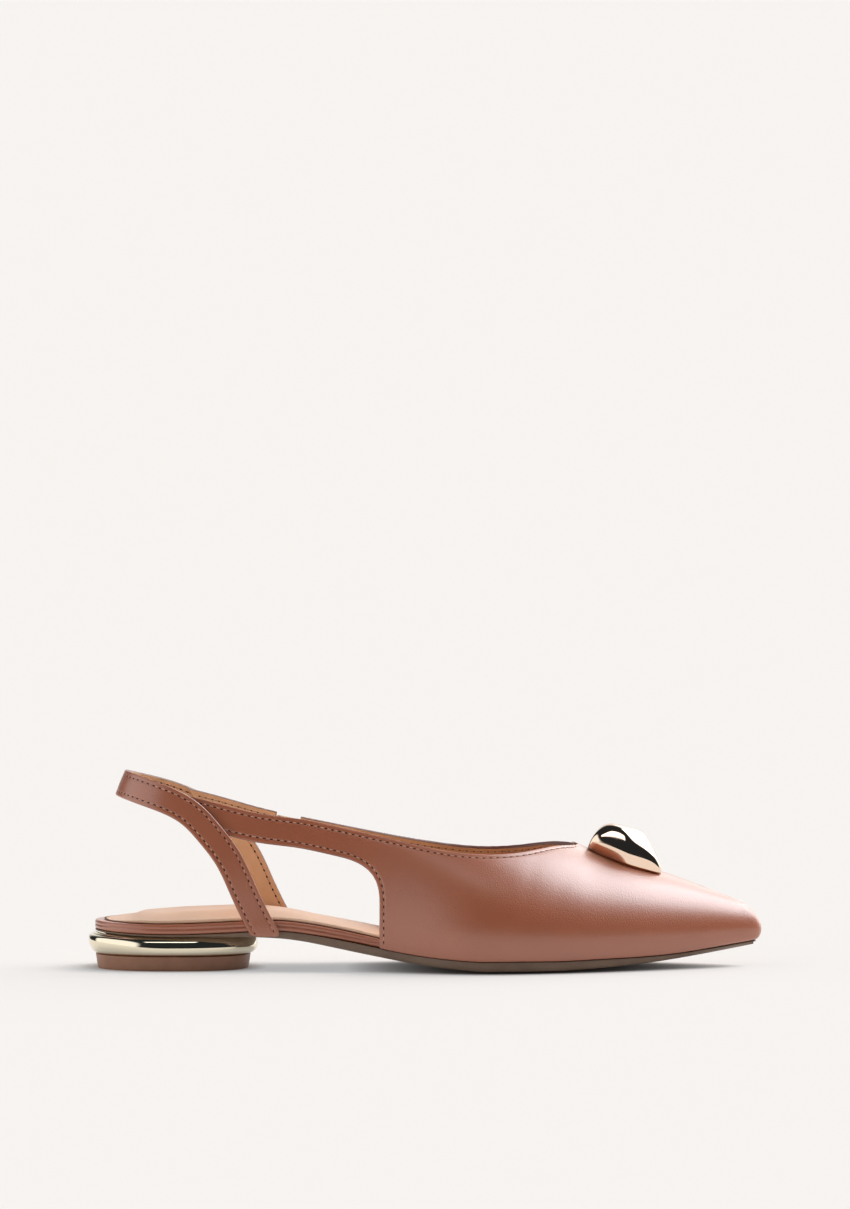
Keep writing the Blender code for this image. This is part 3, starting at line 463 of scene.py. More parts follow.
# inset from the rim, how far the ring is drawn to the spine, level as a share of the board
RIM_RINGS = (
    (1.40 * MM, 1.0, 1.0),
    (1.40 * MM, 0.3, 1.0),
    (1.20 * MM, 0.0, 1.0),
    (0.70 * MM, 0.0, 0.985),
    (0.30 * MM, 0.0, 0.93),
    (0.08 * MM, 0.0, 0.84),
    (0.00 * MM, 0.0, 0.72),
    (0.05 * MM, 0.0, 0.60),
    (0.30 * MM, 0.0, 0.54),
    (0.34 * MM, 0.0, 0.50),
    (0.10 * MM, 0.0, 0.45),
    (0.02 * MM, 0.0, 0.32),
    (0.06 * MM, 0.0, 0.16),
    (0.30 * MM, 0.0, 0.04),
    (0.70 * MM, 0.0, 0.0),
    (0.70 * MM, 0.4, 0.0),
    (0.70 * MM, 1.0, 0.0),
)


def rim_edge(extra):
    return lambda x: RIM_INSET + extra + 0 * x


def rim_level(share):
    return lambda x, y: sole_top(x) + GAP + board_thickness(x) * share


rim_rings = [(rim_edge(extra), drawn, rim_level(share)) for extra, drawn, share in RIM_RINGS]
plate("wrapped_insole", rim_rings, [rose_leather], "insole_board")

# The sock is soft peach leather over thin foam, glued to the board inside its rim.
# A thicker pad under the heel makes it swell; its cut edge is turned under into a fine groove.
SOCK_THICKNESS = 1.0 * MM
SOCK_MARGIN = 1.3 * MM
SOCK_BACK_MARGIN = 3.6 * MM
HEEL_PAD_RISE = 2.1 * MM
HEEL_PAD_CROWN = 0.8 * MM
HEEL_PAD_BACK = (14.5 * MM, 22.5 * MM)
HEEL_CROWN_BACK = (20 * MM, 42 * MM)
HEEL_PAD_FRONT = (0.20 * SHOE_LENGTH, 0.42 * SHOE_LENGTH)
HEEL_PAD_SIDES = (0.8 * MM, 15 * MM)
SOCK_SKIVE = (9.5 * MM, 22 * MM)
sock_finish = leather("peach_sock", (0.72, 0.455, 0.30), (0.68, 0.42, 0.275), 0.50, 0.6 * MM, 0.04 * MM, 0.1)


def sock_edge(extra):
    """How far a ring of the sock lies inside the feather line."""
    margins = ((0.0, SOCK_BACK_MARGIN), (0.03, SOCK_BACK_MARGIN), (0.10, SOCK_MARGIN), (1.0, SOCK_MARGIN))
    return lambda x: RIM_INSET + ramp(x, margins) + extra


def from_sock_edge(x, y):
    """Distance of plan points from the sock's cut edge."""
    edge = plate_ring(sock_edge(0), 0.0)
    found = np.empty(len(x))
    for i in range(len(x)):
        found[i] = np.sqrt(((edge - (x[i], y[i])) ** 2).sum(1).min())
    return found


def sock_level(skin=1.0, padded=True):
    """Height of the sock: an even skin, and over the heel a pad that swells away from the edge."""

    def height(x, y):
        thickness = SOCK_THICKNESS * (0.2 + 0.8 * ease(x, *SOCK_SKIVE))
        base = sole_top(x) + GAP + board_thickness(x) + GAP + thickness * skin
        if not padded:
            return base
        away = from_sock_edge(x, y)
        swell = HEEL_PAD_RISE * ease(x, *HEEL_PAD_BACK) + HEEL_PAD_CROWN * ease(x, *HEEL_CROWN_BACK)
        sides = ease(away, *HEEL_PAD_SIDES) ** 0.8
        return base + swell * (1 - ease(x, *HEEL_PAD_FRONT)) * sides

    return height


sock_rings = [(sock_edge(0), share, sock_level()) for share in 1 - np.linspace(0, 0.97, 26) ** 0.8]
sock_rings += [(sock_edge(0.9 * MM), 0.0, sock_level())]
for extra, drawn, skin in (
    (0.35 * MM, 0.0, 0.86),
    (0.06 * MM, 0.0, 0.55),
    (0.00 * MM, 0.0, 0.25),
    (0.50 * MM, 0.0, 0.0),
    (0.50 * MM, 0.4, 0.0),
    (0.50 * MM, 1.0, 0.0),
):
    sock_rings.append((sock_edge(extra), drawn, sock_level(skin, padded=False)))
sock = plate("padded_sock", sock_rings, [sock_finish], "sock")

# The heel is a low oval pebble of moulded plastic, plated in pale gold and polished to a mirror.
# It bulges all round, draws in to its base, and takes the seat of the sole on top.
TOP_PIECE_HEIGHT = 5.6 * MM
HEEL_LENGTH = 66.3 * MM
HEEL_WIDTH = 55.4 * MM
HEEL_ROUND = 3.6 * MM
HEEL_CENTRE_Y = 0.036 * BALL_WIDTH
HEEL_FULLNESS = 2.35
# level from base, 0, to seat, 1, and the share of the rounding drawn in
HEEL_SIDE = (
    ("seat lip", 1.13, 0.84),
    ("seat edge", 1.08, 0.62),
    ("upper shoulder", 0.99, 0.39),
    ("shoulder", 0.88, 0.225),
    ("lower shoulder", 0.74, 0.09),
    ("upper bulge", 0.61, 0.03),
    ("fullest", 0.46, 0.00),
    ("lower bulge", 0.34, 0.05),
    ("tuck", 0.23, 0.15),
    ("lower tuck", 0.13, 0.31),
    ("under", 0.05, 0.54),
    ("base", 0.00, 0.86),
)
HEEL_SEGMENTS = 180
HEEL_RINGS = 40
SEAT_RINGS = (11 * MM, 0.9 * MM)
# how much higher the bulge sits at the back, as a share of its height, and how far forward that reaches
BACK_LIFT = 0.2
BACK_LIFT_REACH = 30 * MM


def heel_ring(inset):
    """A ring of the heel's oval, moved in by an inset."""
    angle = np.arange(HEEL_SEGMENTS) * 2 * math.pi / HEEL_SEGMENTS
    cos, sin = np.cos(angle), np.sin(angle)
    x = HEEL_LENGTH / 2 + (HEEL_LENGTH / 2 - inset) * np.sign(cos) * np.abs(cos) ** (2 / HEEL_FULLNESS)
    y = HEEL_CENTRE_Y + (HEEL_WIDTH / 2 - inset) * np.sign(sin) * np.abs(sin) ** (2 / HEEL_FULLNESS)
    return np.column_stack([x, y])


def oval_stack(name, rings, material, node):
    """A piece skinned over rings of the heel's oval, closed by a fan at each end."""
    points = [p for ring in rings for p in ring]
    faces = ring_faces(len(rings), HEEL_SEGMENTS)
    for k in (0, len(rings) - 1):
        points.append(np.mean(rings[k], axis=0))
        for i in range(HEEL_SEGMENTS):
            ring = k * HEEL_SEGMENTS
            faces.append((ring + i, ring + (i + 1) % HEEL_SEGMENTS, len(points) - 1))
    return put(name, points, faces, [material], node)


def moulding_waves():
    """The faint waviness of a plastic moulding, as a height."""
    group, inside, outside = effect("moulding_waves", {"Wave Size": ("Float", 9 * MM)}, {"Height": "Float"})
    wave = texture(group, "ShaderNodeTexNoise", Detail=1.0)
    sized(group, wave, inside.outputs["Wave Size"])
    group.links.new(wave.outputs["Fac"], outside.inputs["Height"])
    return group


waves = moulding_waves()


def plated(name, colour, roughness):
    """Polished plating over plastic that shows the waviness of the moulding under it."""
    material, tree, shader = shaded(name, roughness, metallic=1.0)
    shader.inputs["Base Color"].default_value = (*colour, 1)
    wavy = add_node(tree, "ShaderNodeGroup", node_tree=waves)
    in_relief(tree, shader, wavy.outputs["Height"], 0.25, 0.25 * MM)
    return material


champagne = plated("champagne_plating", (0.86, 0.78, 0.60), 0.07)
side = Smooth([row[1] for row in reversed(HEEL_SIDE)], [row[2] for row in reversed(HEEL_SIDE)])
rings = []
for drawn_in in SEAT_RINGS:
    inner = heel_ring(HEEL_ROUND * HEEL_SIDE[0][2] + drawn_in)
    rings.append(np.column_stack([inner, sole_bottom(inner[:, 0]) - GAP]))
base = TOP_PIECE_HEIGHT + GAP
for level in HEEL_SIDE[0][1] * (1 - np.linspace(0, 1, HEEL_RINGS) ** 1.3):
    ring = heel_ring(HEEL_ROUND * side(level)[0])
    seat = sole_bottom(ring[:, 0]) - GAP
    raised = BACK_LIFT * (1 - ease(ring[:, 0], 0, BACK_LIFT_REACH)) * 4 * level * max(0, 1 - level)
    rings.append(np.column_stack([ring, base + (seat - base) * (level + raised)]))
oval_stack("gold_heel", rings, champagne, "heel_block")

# The top piece is the hard brown wearing layer under the heel, glued flush with the pebble's base.
# It tapers a little to the ground and its lower edge is ground round.
TOP_PIECE_TAPER = 0.8 * MM
TOP_PIECE_INSET = 0.84 * HEEL_ROUND
brown_rubber = patched("brown_top_piece", 0.45, (0.345, 0.163, 0.095), (0.30, 0.14, 0.08), 6 * MM)[0]
rings = []
for height, drawn_in in (
    (1.00, -0.02),
    (0.97, -0.10),
    (0.90, -0.04),
    (0.60, 0.30),
    (0.30, 0.62),
    (0.12, 0.84),
    (0.04, 0.96),
    (0.00, 1.25),
):
    ring = heel_ring(TOP_PIECE_INSET + TOP_PIECE_TAPER * drawn_in)
    rings.append(np.column_stack([ring, np.full(len(ring), TOP_PIECE_HEIGHT * height)]))
oval_stack("brown_top_lift", rings, brown_rubber, "top_piece")

# The upper is one piece of rose-tan calf over a camel lining: pointed vamp, open quarters and the
# straps that run back from them. It is lasted under at the feather line, folded and stitched
# round every free edge, and cut with a large rounded opening on each side.
THROAT_HEIGHT = 47.9 * MM
CONE_HEIGHT = 108 * MM
QUARTER_STRAP_WIDTH = 10.8 * MM
GORE_LENGTH = 9.6 * MM
# share of the length, share of the ball width, height as a share of the throat height
CROWN_AHEAD = (
    ("throat", 0.7317, 0.040, 1.000),
    ("ornament back", 0.7460, 0.045, 0.966),
    ("vamp", 0.8000, 0.060, 0.868),
    ("ornament front", 0.8520, 0.072, 0.777),
    ("toe", 0.9100, 0.084, 0.661),
    ("toe crown", 0.9540, 0.090, 0.557),
)
# the same, height as a share of the cone height
CROWN_BEHIND = (
    ("heel cone", 0.1900, 0.040, 1.000),
    ("cone front", 0.2900, 0.035, 0.880),
    ("waist", 0.4300, 0.025, 0.740),
    ("instep", 0.5350, 0.022, 0.620),
    ("instep front", 0.6500, 0.028, 0.515),
)
# share of the length of the crown, lean at the feather line, height that leans, flat at the crown
SECTION_SHAPE = (
    ("heel", 0.190, -3.0 * MM, 0.30, 0.37),
    ("cone front", 0.290, 1.5 * MM, 0.42, 0.52),
    ("waist", 0.430, 7.0 * MM, 0.45, 0.66),
    ("instep", 0.590, 9.5 * MM, 0.45, 0.52),
    ("throat", 0.730, 9.5 * MM, 0.43, 0.44),
    ("vamp", 0.850, 8.5 * MM, 0.40, 0.34),
    ("toe", 0.954, 5.9 * MM, 0.38, 0.44),
)
TOE_FAN = 70 * MM
HEEL_FAN = 88 * MM
TOE_CROWN = 0.954
HEEL_CROWN = 0.190
# share of the length, lateral and medial heights as shares of the throat height
TOPLINE = (
    ("strap end", 0.1300, 1.455, 1.452),
    ("sling crossing", 0.2050, 1.349, 1.347),
    ("strap back", 0.2560, 1.282, 1.269),
    ("strap", 0.3160, 1.238, 1.198),
    ("strap front", 0.3750, 1.173, 1.134),
    ("collar back", 0.4640, 1.067, 1.036),
    ("collar side", 0.5240, 0.999, 0.981),
    ("collar dip", 0.5980, 0.961, 0.948),
    ("collar rise", 0.6580, 0.982, 0.979),
    ("throat side", 0.7020, 1.010, 1.010),
    ("throat", 0.7317, 1.000, 1.000),
)
THROAT_X = TOPLINE[-1][1] * SHOE_LENGTH
VAMP_CORNER_X = 0.4335 * SHOE_LENGTH
OPENING_RUN = 17 * MM
OPENING_DROP = 15 * MM
OPENING_FULLNESS = 2.8
STRAP_END_TOP = 0.150 * SHOE_LENGTH
STRAP_END_LOW = 0.168 * SHOE_LENGTH
GORE_FRONT = 0.3170 * SHOE_LENGTH
CUT_LEAN = 1.5 * MM
# where the topline stands above the front corner, the turn and the strap of the side opening
ABOVE_CORNER = 0.490 * SHOE_LENGTH
ABOVE_TURN = 0.450 * SHOE_LENGTH
ABOVE_STRAP = 0.375 * SHOE_LENGTH
CROWN_COLUMNS = 76
# columns along the vamp's foot and the share of it that lies close to the corner, then up the
# opening's front, round its turn and along the strap
VAMP_COLUMNS, CORNER_COLUMNS, CORNER_SHARE = 44, 14, 0.055
FRONT_COLUMNS, TURN_COLUMNS, REACH_COLUMNS = 21, 33, 45
UPPER_ROWS = 26


def hermite(share, start, start_slope, end, end_slope):
    return (
        start * (2 * share**3 - 3 * share**2 + 1)
        + start_slope * (share**3 - 2 * share**2 + share)
        + end * (3 * share**2 - 2 * share**3)
        + end_slope * (share**3 - share**2)
    )


def crown_along(along, run):
    """Where each section's crown lies: above its foot at the waist, gathered in at toe and heel."""
    total, foot_x = along[-1], run[:, 0]
    crown_x = foot_x.copy()
    slope = np.gradient(foot_x, along)
    ahead = along < TOE_FAN
    join = np.interp(TOE_FAN, along, foot_x)
    join_slope = np.interp(TOE_FAN, along, slope) * TOE_FAN
    crown_x[ahead] = hermite(
        along[ahead] / TOE_FAN, TOE_CROWN * SHOE_LENGTH, -0.30 * TOE_FAN, join, join_slope
    )
    behind = along > total - HEEL_FAN
    join = np.interp(total - HEEL_FAN, along, foot_x)
    join_slope = -np.interp(total - HEEL_FAN, along, slope) * HEEL_FAN
    crown_x[behind] = hermite(
        (total - along[behind]) / HEEL_FAN, HEEL_CROWN * SHOE_LENGTH, 0.05 * HEEL_FAN, join, join_slope
    )
    return crown_x


crown_rows = [(x, y, z * CONE_HEIGHT) for _, x, y, z in CROWN_BEHIND]
crown_rows += [(x, y, z * THROAT_HEIGHT) for _, x, y, z in CROWN_AHEAD]
crown_y = Smooth([r[0] * SHOE_LENGTH for r in crown_rows], [r[1] * BALL_WIDTH for r in crown_rows])
crown_z = Smooth([r[0] * SHOE_LENGTH for r in crown_rows], [r[2] for r in crown_rows])
section = Smooth([r[1] * SHOE_LENGTH for r in SECTION_SHAPE], [r[2:] for r in SECTION_SHAPE])


def last_columns():
    """Foot, crown and section shape at dense places round the last: 0 toe, 1 heel, 2 toe again."""
    halves = []
    for along, run, _ in FEATHER:
        crown_x = crown_along(along, run)
        columns = [run, sole_top(run[:, 0]) + GAP, crown_x, crown_y(crown_x), crown_z(crown_x)]
        halves.append(np.column_stack([*columns, section(crown_x), along]))
    lateral, medial = halves
    places = [lateral[:, -1] / lateral[-1, -1], 2 - medial[::-1, -1][1:] / medial[-1, -1]]
    return np.concatenate(places), np.vstack([lateral[:, :-1], medial[::-1][1:, :-1]])


PLACES, COLUMNS = last_columns()


def last(places, rises):
    """Points on the last at places round it and rises from the feather line, 0, to the crown, 1."""
    places = np.mod(np.asarray(places, float), 2)
    column = np.stack([np.interp(places, PLACES, values) for values in COLUMNS.T], axis=-1)
    u = np.asarray(rises, float)[..., None]
    foot, crown = column[..., 0:3], column[..., 3:6]
    lean, rise, shoulder = (column[..., i : i + 1] for i in (6, 7, 8))
    across = (crown - foot) * (1, 1, 0)
    height = (crown - foot) * (0, 0, 1)
    outward = -across / np.linalg.norm(across, axis=-1, keepdims=True)
    first = foot + outward * lean + height * rise
    second = foot + across * shoulder + height
    return foot * (1 - u) ** 3 + first * 3 * (1 - u) ** 2 * u + second * 3 * (1 - u) * u**2 + crown * u**3


def unit(vectors):
    return vectors / np.linalg.norm(vectors, axis=-1, keepdims=True)


def surface(places, rises):
    """Points of the last, its two directions of travel, and its normals facing out."""
    step_t, step_u = 1e-3, 2e-3
    along = (last(places + step_t, rises) - last(places - step_t, rises)) / (2 * step_t)
    up = (last(places, rises + step_u) - last(places, rises - step_u)) / (2 * step_u)
    return last(places, rises), along, up, unit(np.cross(up, along))


def settle(places, rises, targets, axes=(0, 1, 2), rounds=8):
    """Places and rises on the last nearest to targets, reading only some of their axes."""
    axes = list(axes)
    for _ in range(rounds):
        points, along, up, _ = surface(places, rises)
        miss = (targets - points)[..., axes]
        a, b = along[..., axes], up[..., axes]
        aa, bb, ab = (a * a).sum(-1), (b * b).sum(-1), (a * b).sum(-1)
        am, bm = (a * miss).sum(-1), (b * miss).sum(-1)
        scale = aa * bb - ab * ab
        places = places + np.clip((am * bb - bm * ab) / scale, -0.05, 0.05)
        rises = np.clip(rises + np.clip((bm * aa - am * ab) / scale, -0.15, 0.15), -0.04, 1.0)
    return places, rises


SIDE_RANGE = {"lateral": (0.02, 0.98), "medial": (1.02, 1.98)}
NETS = {}
for name, (low, high) in SIDE_RANGE.items():
    net_t, net_u = [v.ravel() for v in np.meshgrid(np.linspace(low, high, 130), np.linspace(0, 1, 90))]
    NETS[name] = (net_t, net_u, last(net_t, net_u))


def on_side(side_name, x, z):
    """Places and rises of the points of one side that have these lengths and heights."""
    net_t, net_u, points = NETS[side_name]
    x, z = np.atleast_1d(x), np.atleast_1d(z)
    miss = (points[None, :, 0] - x[:, None]) ** 2 + (points[None, :, 2] - z[:, None]) ** 2
    nearest = np.argmin(miss, axis=1)
    targets = np.stack([x, 0 * x, z], axis=-1)
    return np.stack(settle(net_t[nearest], net_u[nearest], targets, axes=(0, 2)), axis=-1)


def place_of(side_name, x, column):
    """Places on one side whose foot (column 0) or crown (column 3) is at these lengths."""
    half = PLACES <= 1 if side_name == "lateral" else PLACES >= 1
    values, places = COLUMNS[half, column], PLACES[half]
    order = np.argsort(values)
    return np.interp(x, values[order], places[order])


topline_heights = {
    "lateral": along_shoe(TOPLINE, 2, THROAT_HEIGHT),
    "medial": along_shoe(TOPLINE, 3, THROAT_HEIGHT),
}


def strap_underside(side_name, x, width=QUARTER_STRAP_WIDTH):
    """Height of the lower edge of a quarter strap of this width, square to its slope."""
    top = topline_heights[side_name]
    slope = (top(x + MM) - top(x - MM)) / (2 * MM)
    return top(x) - width * np.sqrt(1 + slope * slope)


def clustered(count, edge_count, edge_share):
    """Shares from 0 to 1 that crowd together at the far end."""
    main = np.linspace(0, 1 - edge_share, count + 1)[1:]
    return np.concatenate([main, np.linspace(1 - edge_share, 1, edge_count + 1)[1:]])


def upper_edges(side_name, strap_end_low, strap_end_top):
    """Lower and upper edge of one side as places and rises, from the toe to the strap's end."""
    toe_end = 0.0 if side_name == "lateral" else 2.0
    shares = np.linspace(0, 1, CROWN_COLUMNS)[1:] ** 0.92
    start = place_of("lateral", THROAT_X, 3)
    crown_x = np.interp(start * shares, PLACES, COLUMNS[:, 3])
    places = np.concatenate([[toe_end], place_of(side_name, crown_x, 3)])
    low = [np.column_stack([places, 0 * places])]
    high = [np.column_stack([places, 0 * places + 1])]

    def on_topline(x):
        return on_side(side_name, x, topline_heights[side_name](x))

    shares = clustered(VAMP_COLUMNS, CORNER_COLUMNS, CORNER_SHARE)
    places = places[-1] + (place_of(side_name, VAMP_CORNER_X, 0) - places[-1]) * shares
    low.append(np.column_stack([places, 0 * places]))
    high.append(on_topline(THROAT_X + (ABOVE_CORNER - THROAT_X) * shares**1.15))
    vamp_end = sum(len(part) for part in low)
    shares = np.linspace(0, 1, FRONT_COLUMNS + 1)[1:]
    foot_z = sole_top(VAMP_CORNER_X)[0] + GAP
    drop_end = strap_underside(side_name, VAMP_CORNER_X)[0] - OPENING_DROP
    low.append(on_side(side_name, VAMP_CORNER_X + 0 * shares, foot_z + (drop_end - foot_z) * shares))
    high.append(on_topline(ABOVE_CORNER + (ABOVE_TURN - ABOVE_CORNER) * shares))
    shares = np.linspace(0, 1, TURN_COLUMNS + 1)[1:]
    turn = math.pi / 2 * (1 - shares)
    run_start = VAMP_CORNER_X - OPENING_RUN
    x = run_start + OPENING_RUN * np.sin(turn) ** (2 / OPENING_FULLNESS)
    drop = OPENING_DROP * (1 - np.cos(turn) ** (2 / OPENING_FULLNESS))
    low.append(on_side(side_name, x, strap_underside(side_name, x) - drop))
    high.append(on_topline(ABOVE_TURN + (ABOVE_STRAP - ABOVE_TURN) * shares))
    shares = np.linspace(0, 1, REACH_COLUMNS + 1)[1:]
    x = run_start + (strap_end_low - run_start) * shares
    low.append(on_side(side_name, x, strap_underside(side_name, x)))
    high.append(on_topline(ABOVE_STRAP + (strap_end_top - ABOVE_STRAP) * shares))
    return np.vstack(low), np.vstack(high), vamp_end


EDGE_ROWS = np.array([0, 0.12, 0.25, 0.4, 0.7, 1.1, 1.4, 1.65, 1.9, 2.15, 2.4, 2.8, 3.4]) * MM


def rows_between(low, high, middle):
    """A net of places and rises between two edges, with close rows beside each."""
    shares = np.linspace(0, 1, 90)
    net = low[:, None, :] * (1 - shares[None, :, None]) + high[:, None, :] * shares[None, :, None]
    points = last(net[..., 0], net[..., 1])
    steps = np.linalg.norm(np.diff(points, axis=1), axis=-1)
    run = np.concatenate([np.zeros((len(low), 1)), np.cumsum(steps, axis=1)], axis=1)
    found = []
    for i, total in enumerate(run[:, -1]):
        edge = EDGE_ROWS * min(1.0, 0.45 * total / EDGE_ROWS[-1])
        centre = np.linspace(edge[-1], total - edge[-1], middle + 2)[1:-1]
        found.append(np.interp(np.concatenate([edge, centre, total - edge[::-1]]), run[i], shares))
    shares = np.array(found)[..., None]
    net = low[:, None, :] * (1 - shares) + high[:, None, :] * shares
    return net[..., 0], net[..., 1]


def reach(points, line, step=0.4 * MM):
    """Distance of each point from a line of points."""
    legs = np.linalg.norm(np.diff(line, axis=0), axis=1)
    run = np.concatenate([[0], np.cumsum(legs)])
    at = np.linspace(0, run[-1], max(2, int(run[-1] / step)))
    dense = np.column_stack([np.interp(at, run, line[:, k]) for k in range(3)])
    flat = points.reshape(-1, 3)
    found = np.empty(len(flat))
    for start in range(0, len(flat), 4000):
        block = flat[start : start + 4000]
        found[start : start + 4000] = np.sqrt(((block[:, None] - dense[None]) ** 2).sum(-1).min(1))
    return found.reshape(points.shape[:-1])


STITCH_INSET = 1.75 * MM
ROLL_DEPTH = 0.2 * MM
SEAM_DEPTH = 0.12 * MM
ROLL_WIDTH = 0.42 * MM


def folded_edge(away):
    """How far leather sinks near a folded edge: rolled over, then drawn in by the stitching."""
    roll = -ROLL_DEPTH * np.clip(1 - away / ROLL_WIDTH, 0, 1) ** 2
    seam = -SEAM_DEPTH * np.exp(-(((away - STITCH_INSET) / ROLL_WIDTH) ** 2))
    return roll + seam


# share of the length and side offset of the trough's middle, its direction in plan, length, width, depth
VAMP_CREASES = (
    ("under the throat", 0.712, -0.30, 62, 15 * MM, 3.0 * MM, 0.05 * MM),
    ("beside the throat", 0.742, -0.22, 48, 11 * MM, 2.6 * MM, 0.04 * MM),
    ("little toe joint", 0.655, -0.44, 75, 13 * MM, 3.2 * MM, 0.07 * MM),
    ("inner throat", 0.716, 0.36, -60, 14 * MM, 3.0 * MM, 0.05 * MM),
    ("big toe joint", 0.670, 0.47, -78, 12 * MM, 3.2 * MM, 0.07 * MM),
)


def creased(points):
    """Soft troughs with low ridges beside them, where the vamp has bent on the last."""
    sunk = np.zeros(points.shape[:-1])
    for _, x, y, turn, length, width, depth in VAMP_CREASES:
        turn = math.radians(turn)
        dx, dy = points[..., 0] - x * SHOE_LENGTH, points[..., 1] - y * BALL_WIDTH
        along = dx * math.cos(turn) + dy * math.sin(turn)
        across = (-dx * math.sin(turn) + dy * math.cos(turn)) / width
        sunk -= depth * (1 - across**2) * np.exp(-(across**2)) * np.exp(-((along / length) ** 2))
    return sunk


def wall_faces(columns, rows, start):
    faces = []
    for i in range(columns - 1):
        for j in range(rows - 1):
            a = start + i * rows + j
            faces.append((a, a + 1, a + rows + 1, a + rows))
    return faces


RIM_TURNS = 5
EDGE_BULGE = 0.18 * MM


def walled(outer, inner, open_low, open_high, open_ends, bulge=EDGE_BULGE):
    """Points, faces and paint of a wall between two nets, with round rims along its free edges."""
    columns, rows = outer.shape[:2]
    points = np.concatenate([outer.reshape(-1, 3), inner.reshape(-1, 3)])
    faces = wall_faces(columns, rows, 0) + wall_faces(columns, rows, columns * rows)
    paint = [0] * ((columns - 1) * (rows - 1)) + [1] * ((columns - 1) * (rows - 1))

    def rim(outer_line, inner_line, away, present):
        nonlocal points, faces, paint
        start = len(points)
        turns = np.linspace(0, math.pi, RIM_TURNS + 2)[None, :, None]
        middle = (outer_line + inner_line)[:, None] / 2
        half = (outer_line - inner_line)[:, None] / 2
        ring = middle + half * np.cos(turns) + away[:, None] * bulge * np.sin(turns)
        points = np.concatenate([points, ring.reshape(-1, 3)])
        count = RIM_TURNS + 2
        for i in range(len(outer_line) - 1):
            if present[i] and present[i + 1]:
                for j in range(count - 1):
                    a = start + i * count + j
                    faces.append((a, a + 1, a + count + 1, a + count))
                    paint.append(2)

    rim(outer[:, 0], inner[:, 0], unit(outer[:, 0] - outer[:, 1]), open_low)
    rim(outer[:, -1], inner[:, -1], unit(outer[:, -1] - outer[:, -2]), open_high)
    every = [True] * rows
    if open_ends[0]:
        rim(outer[0], inner[0], unit(outer[0] - outer[1]), every)
    if open_ends[1]:
        rim(outer[-1], inner[-1], unit(outer[-1] - outer[-2]), every)
    return points, faces, paint


LASTING_DRAW = 0.22 * MM
LASTING_WIDTH = 1.2 * MM
LINING_FOLLOWS = 0.4
# dark brown cut edges: real edge paint, and in part painted shade for the dark gap where the sling lies over
# the strap
edge_paint_and_gap_shade = patched("edge_paint_and_gap_shade", 0.34, (0.17, 0.062, 0.04), (0.13, 0.045, 0.028), 4 * MM)[0]
camel_lining = leather(
    "camel_lining", (0.80, 0.48, 0.275), (0.72, 0.41, 0.225), 0.68, 0.3 * MM, 0.06 * MM, 0.2
)
lined_leather = [rose_leather, camel_lining, edge_paint_and_gap_shade]
lateral_low, lateral_high, vamp_end = upper_edges("lateral", STRAP_END_LOW, STRAP_END_TOP)
medial_low, medial_high, _ = upper_edges("medial", GORE_FRONT - CUT_LEAN, GORE_FRONT)
edges = ((lateral_low, lateral_high), (medial_low, medial_high))
halves = [surface(*rows_between(low, high, UPPER_ROWS)) for low, high in edges]
crown_normals = unit(halves[0][3][:CROWN_COLUMNS, -1] + halves[1][3][:CROWN_COLUMNS, -1])
topline_start = CROWN_COLUMNS - 1
opening_start = vamp_end - 1
upper_parts = []
edge_lines = []
for (points, _, _, normals), (low, high) in zip(halves, edges):
    normals[:CROWN_COLUMNS, -1] = crown_normals
    opening, topline = low[opening_start:], high[topline_start:]
    edge_lines.append((opening, topline))
    sunk = folded_edge(reach(points, last(*opening.T))) + folded_edge(reach(points, last(*topline.T)))
    from_feather = reach(points, last(*low[:vamp_end].T))
    sunk -= LASTING_DRAW * np.clip(1 - from_feather / LASTING_WIDTH, 0, 1) ** 2
    outer = points + normals * (sunk + creased(points))[..., None]
    inner = points - normals * (UPPER_WALL - LINING_FOLLOWS * sunk)[..., None]
    columns = len(points)
    open_high = [i >= topline_start for i in range(columns)]
    upper_parts.append(walled(outer, inner, [True] * columns, open_high, (False, True)))
points = np.concatenate([part[0] for part in upper_parts])
offset = len(upper_parts[0][0])
faces = upper_parts[0][1] + [tuple(i + offset for i in face) for face in upper_parts[1][1]]
paint = upper_parts[0][2] + upper_parts[1][2]
put("vamp_and_quarters", points, faces, lined_leather, "upper", paint)

# Every free edge is stitched in light thread, about 2.8 mm a stitch. Between the stitches on both
# faces the needle holes are near-black beads: painted shade for the dark inside of each hole.
STITCH_PITCH = 2.75 * MM
THREAD_RADIUS = 0.23 * MM
HOLE_LENGTH = 1.2 * MM
HOLE_WIDTH = 0.6 * MM
HOLE_STANDS = 0.07 * MM
THREAD_STANDS = 0.12 * MM
THREAD_RISE = 0.06 * MM
SEAM_SINK = 0.10 * MM
thread_finish = patched("light_thread", 0.6, (0.66, 0.36, 0.25), (0.50, 0.23, 0.15), 1.1 * MM)[0]
# the needle holes' near-black colour is painted shade, standing in for the dark inside of each hole
painted_hole_shade_finish = patched("painted_needle_hole_shade", 0.9, (0.035, 0.011, 0.007), (0.015, 0.005, 0.003), 1.5 * MM)[0]


def bead(centre, long_axis, wide_axis, up_axis, half_long, half_wide, half_high, rings, turns):
    """Points and faces of one small rounded body."""
    points = [centre - long_axis * half_long]
    faces = []
    for k in range(1, rings):
        lean = math.pi * k / rings
        for i in range(turns):
            turn = 2 * math.pi * i / turns
            points.append(
                centre
                - long_axis * half_long * math.cos(lean)
                + (wide_axis * half_wide * math.cos(turn) + up_axis * half_high * math.sin(turn))
                * math.sin(lean) ** 0.6
            )
    points.append(centre + long_axis * half_long)
    end = len(points) - 1
    for i in range(turns):
        j = (i + 1) % turns
        faces.append((0, 1 + j, 1 + i))
        for k in range(rings - 2):
            a = 1 + k * turns
            faces.append((a + i, a + j, a + turns + j, a + turns + i))
        a = 1 + (rings - 2) * turns
        faces.append((a + i, a + j, end))
    return points, faces


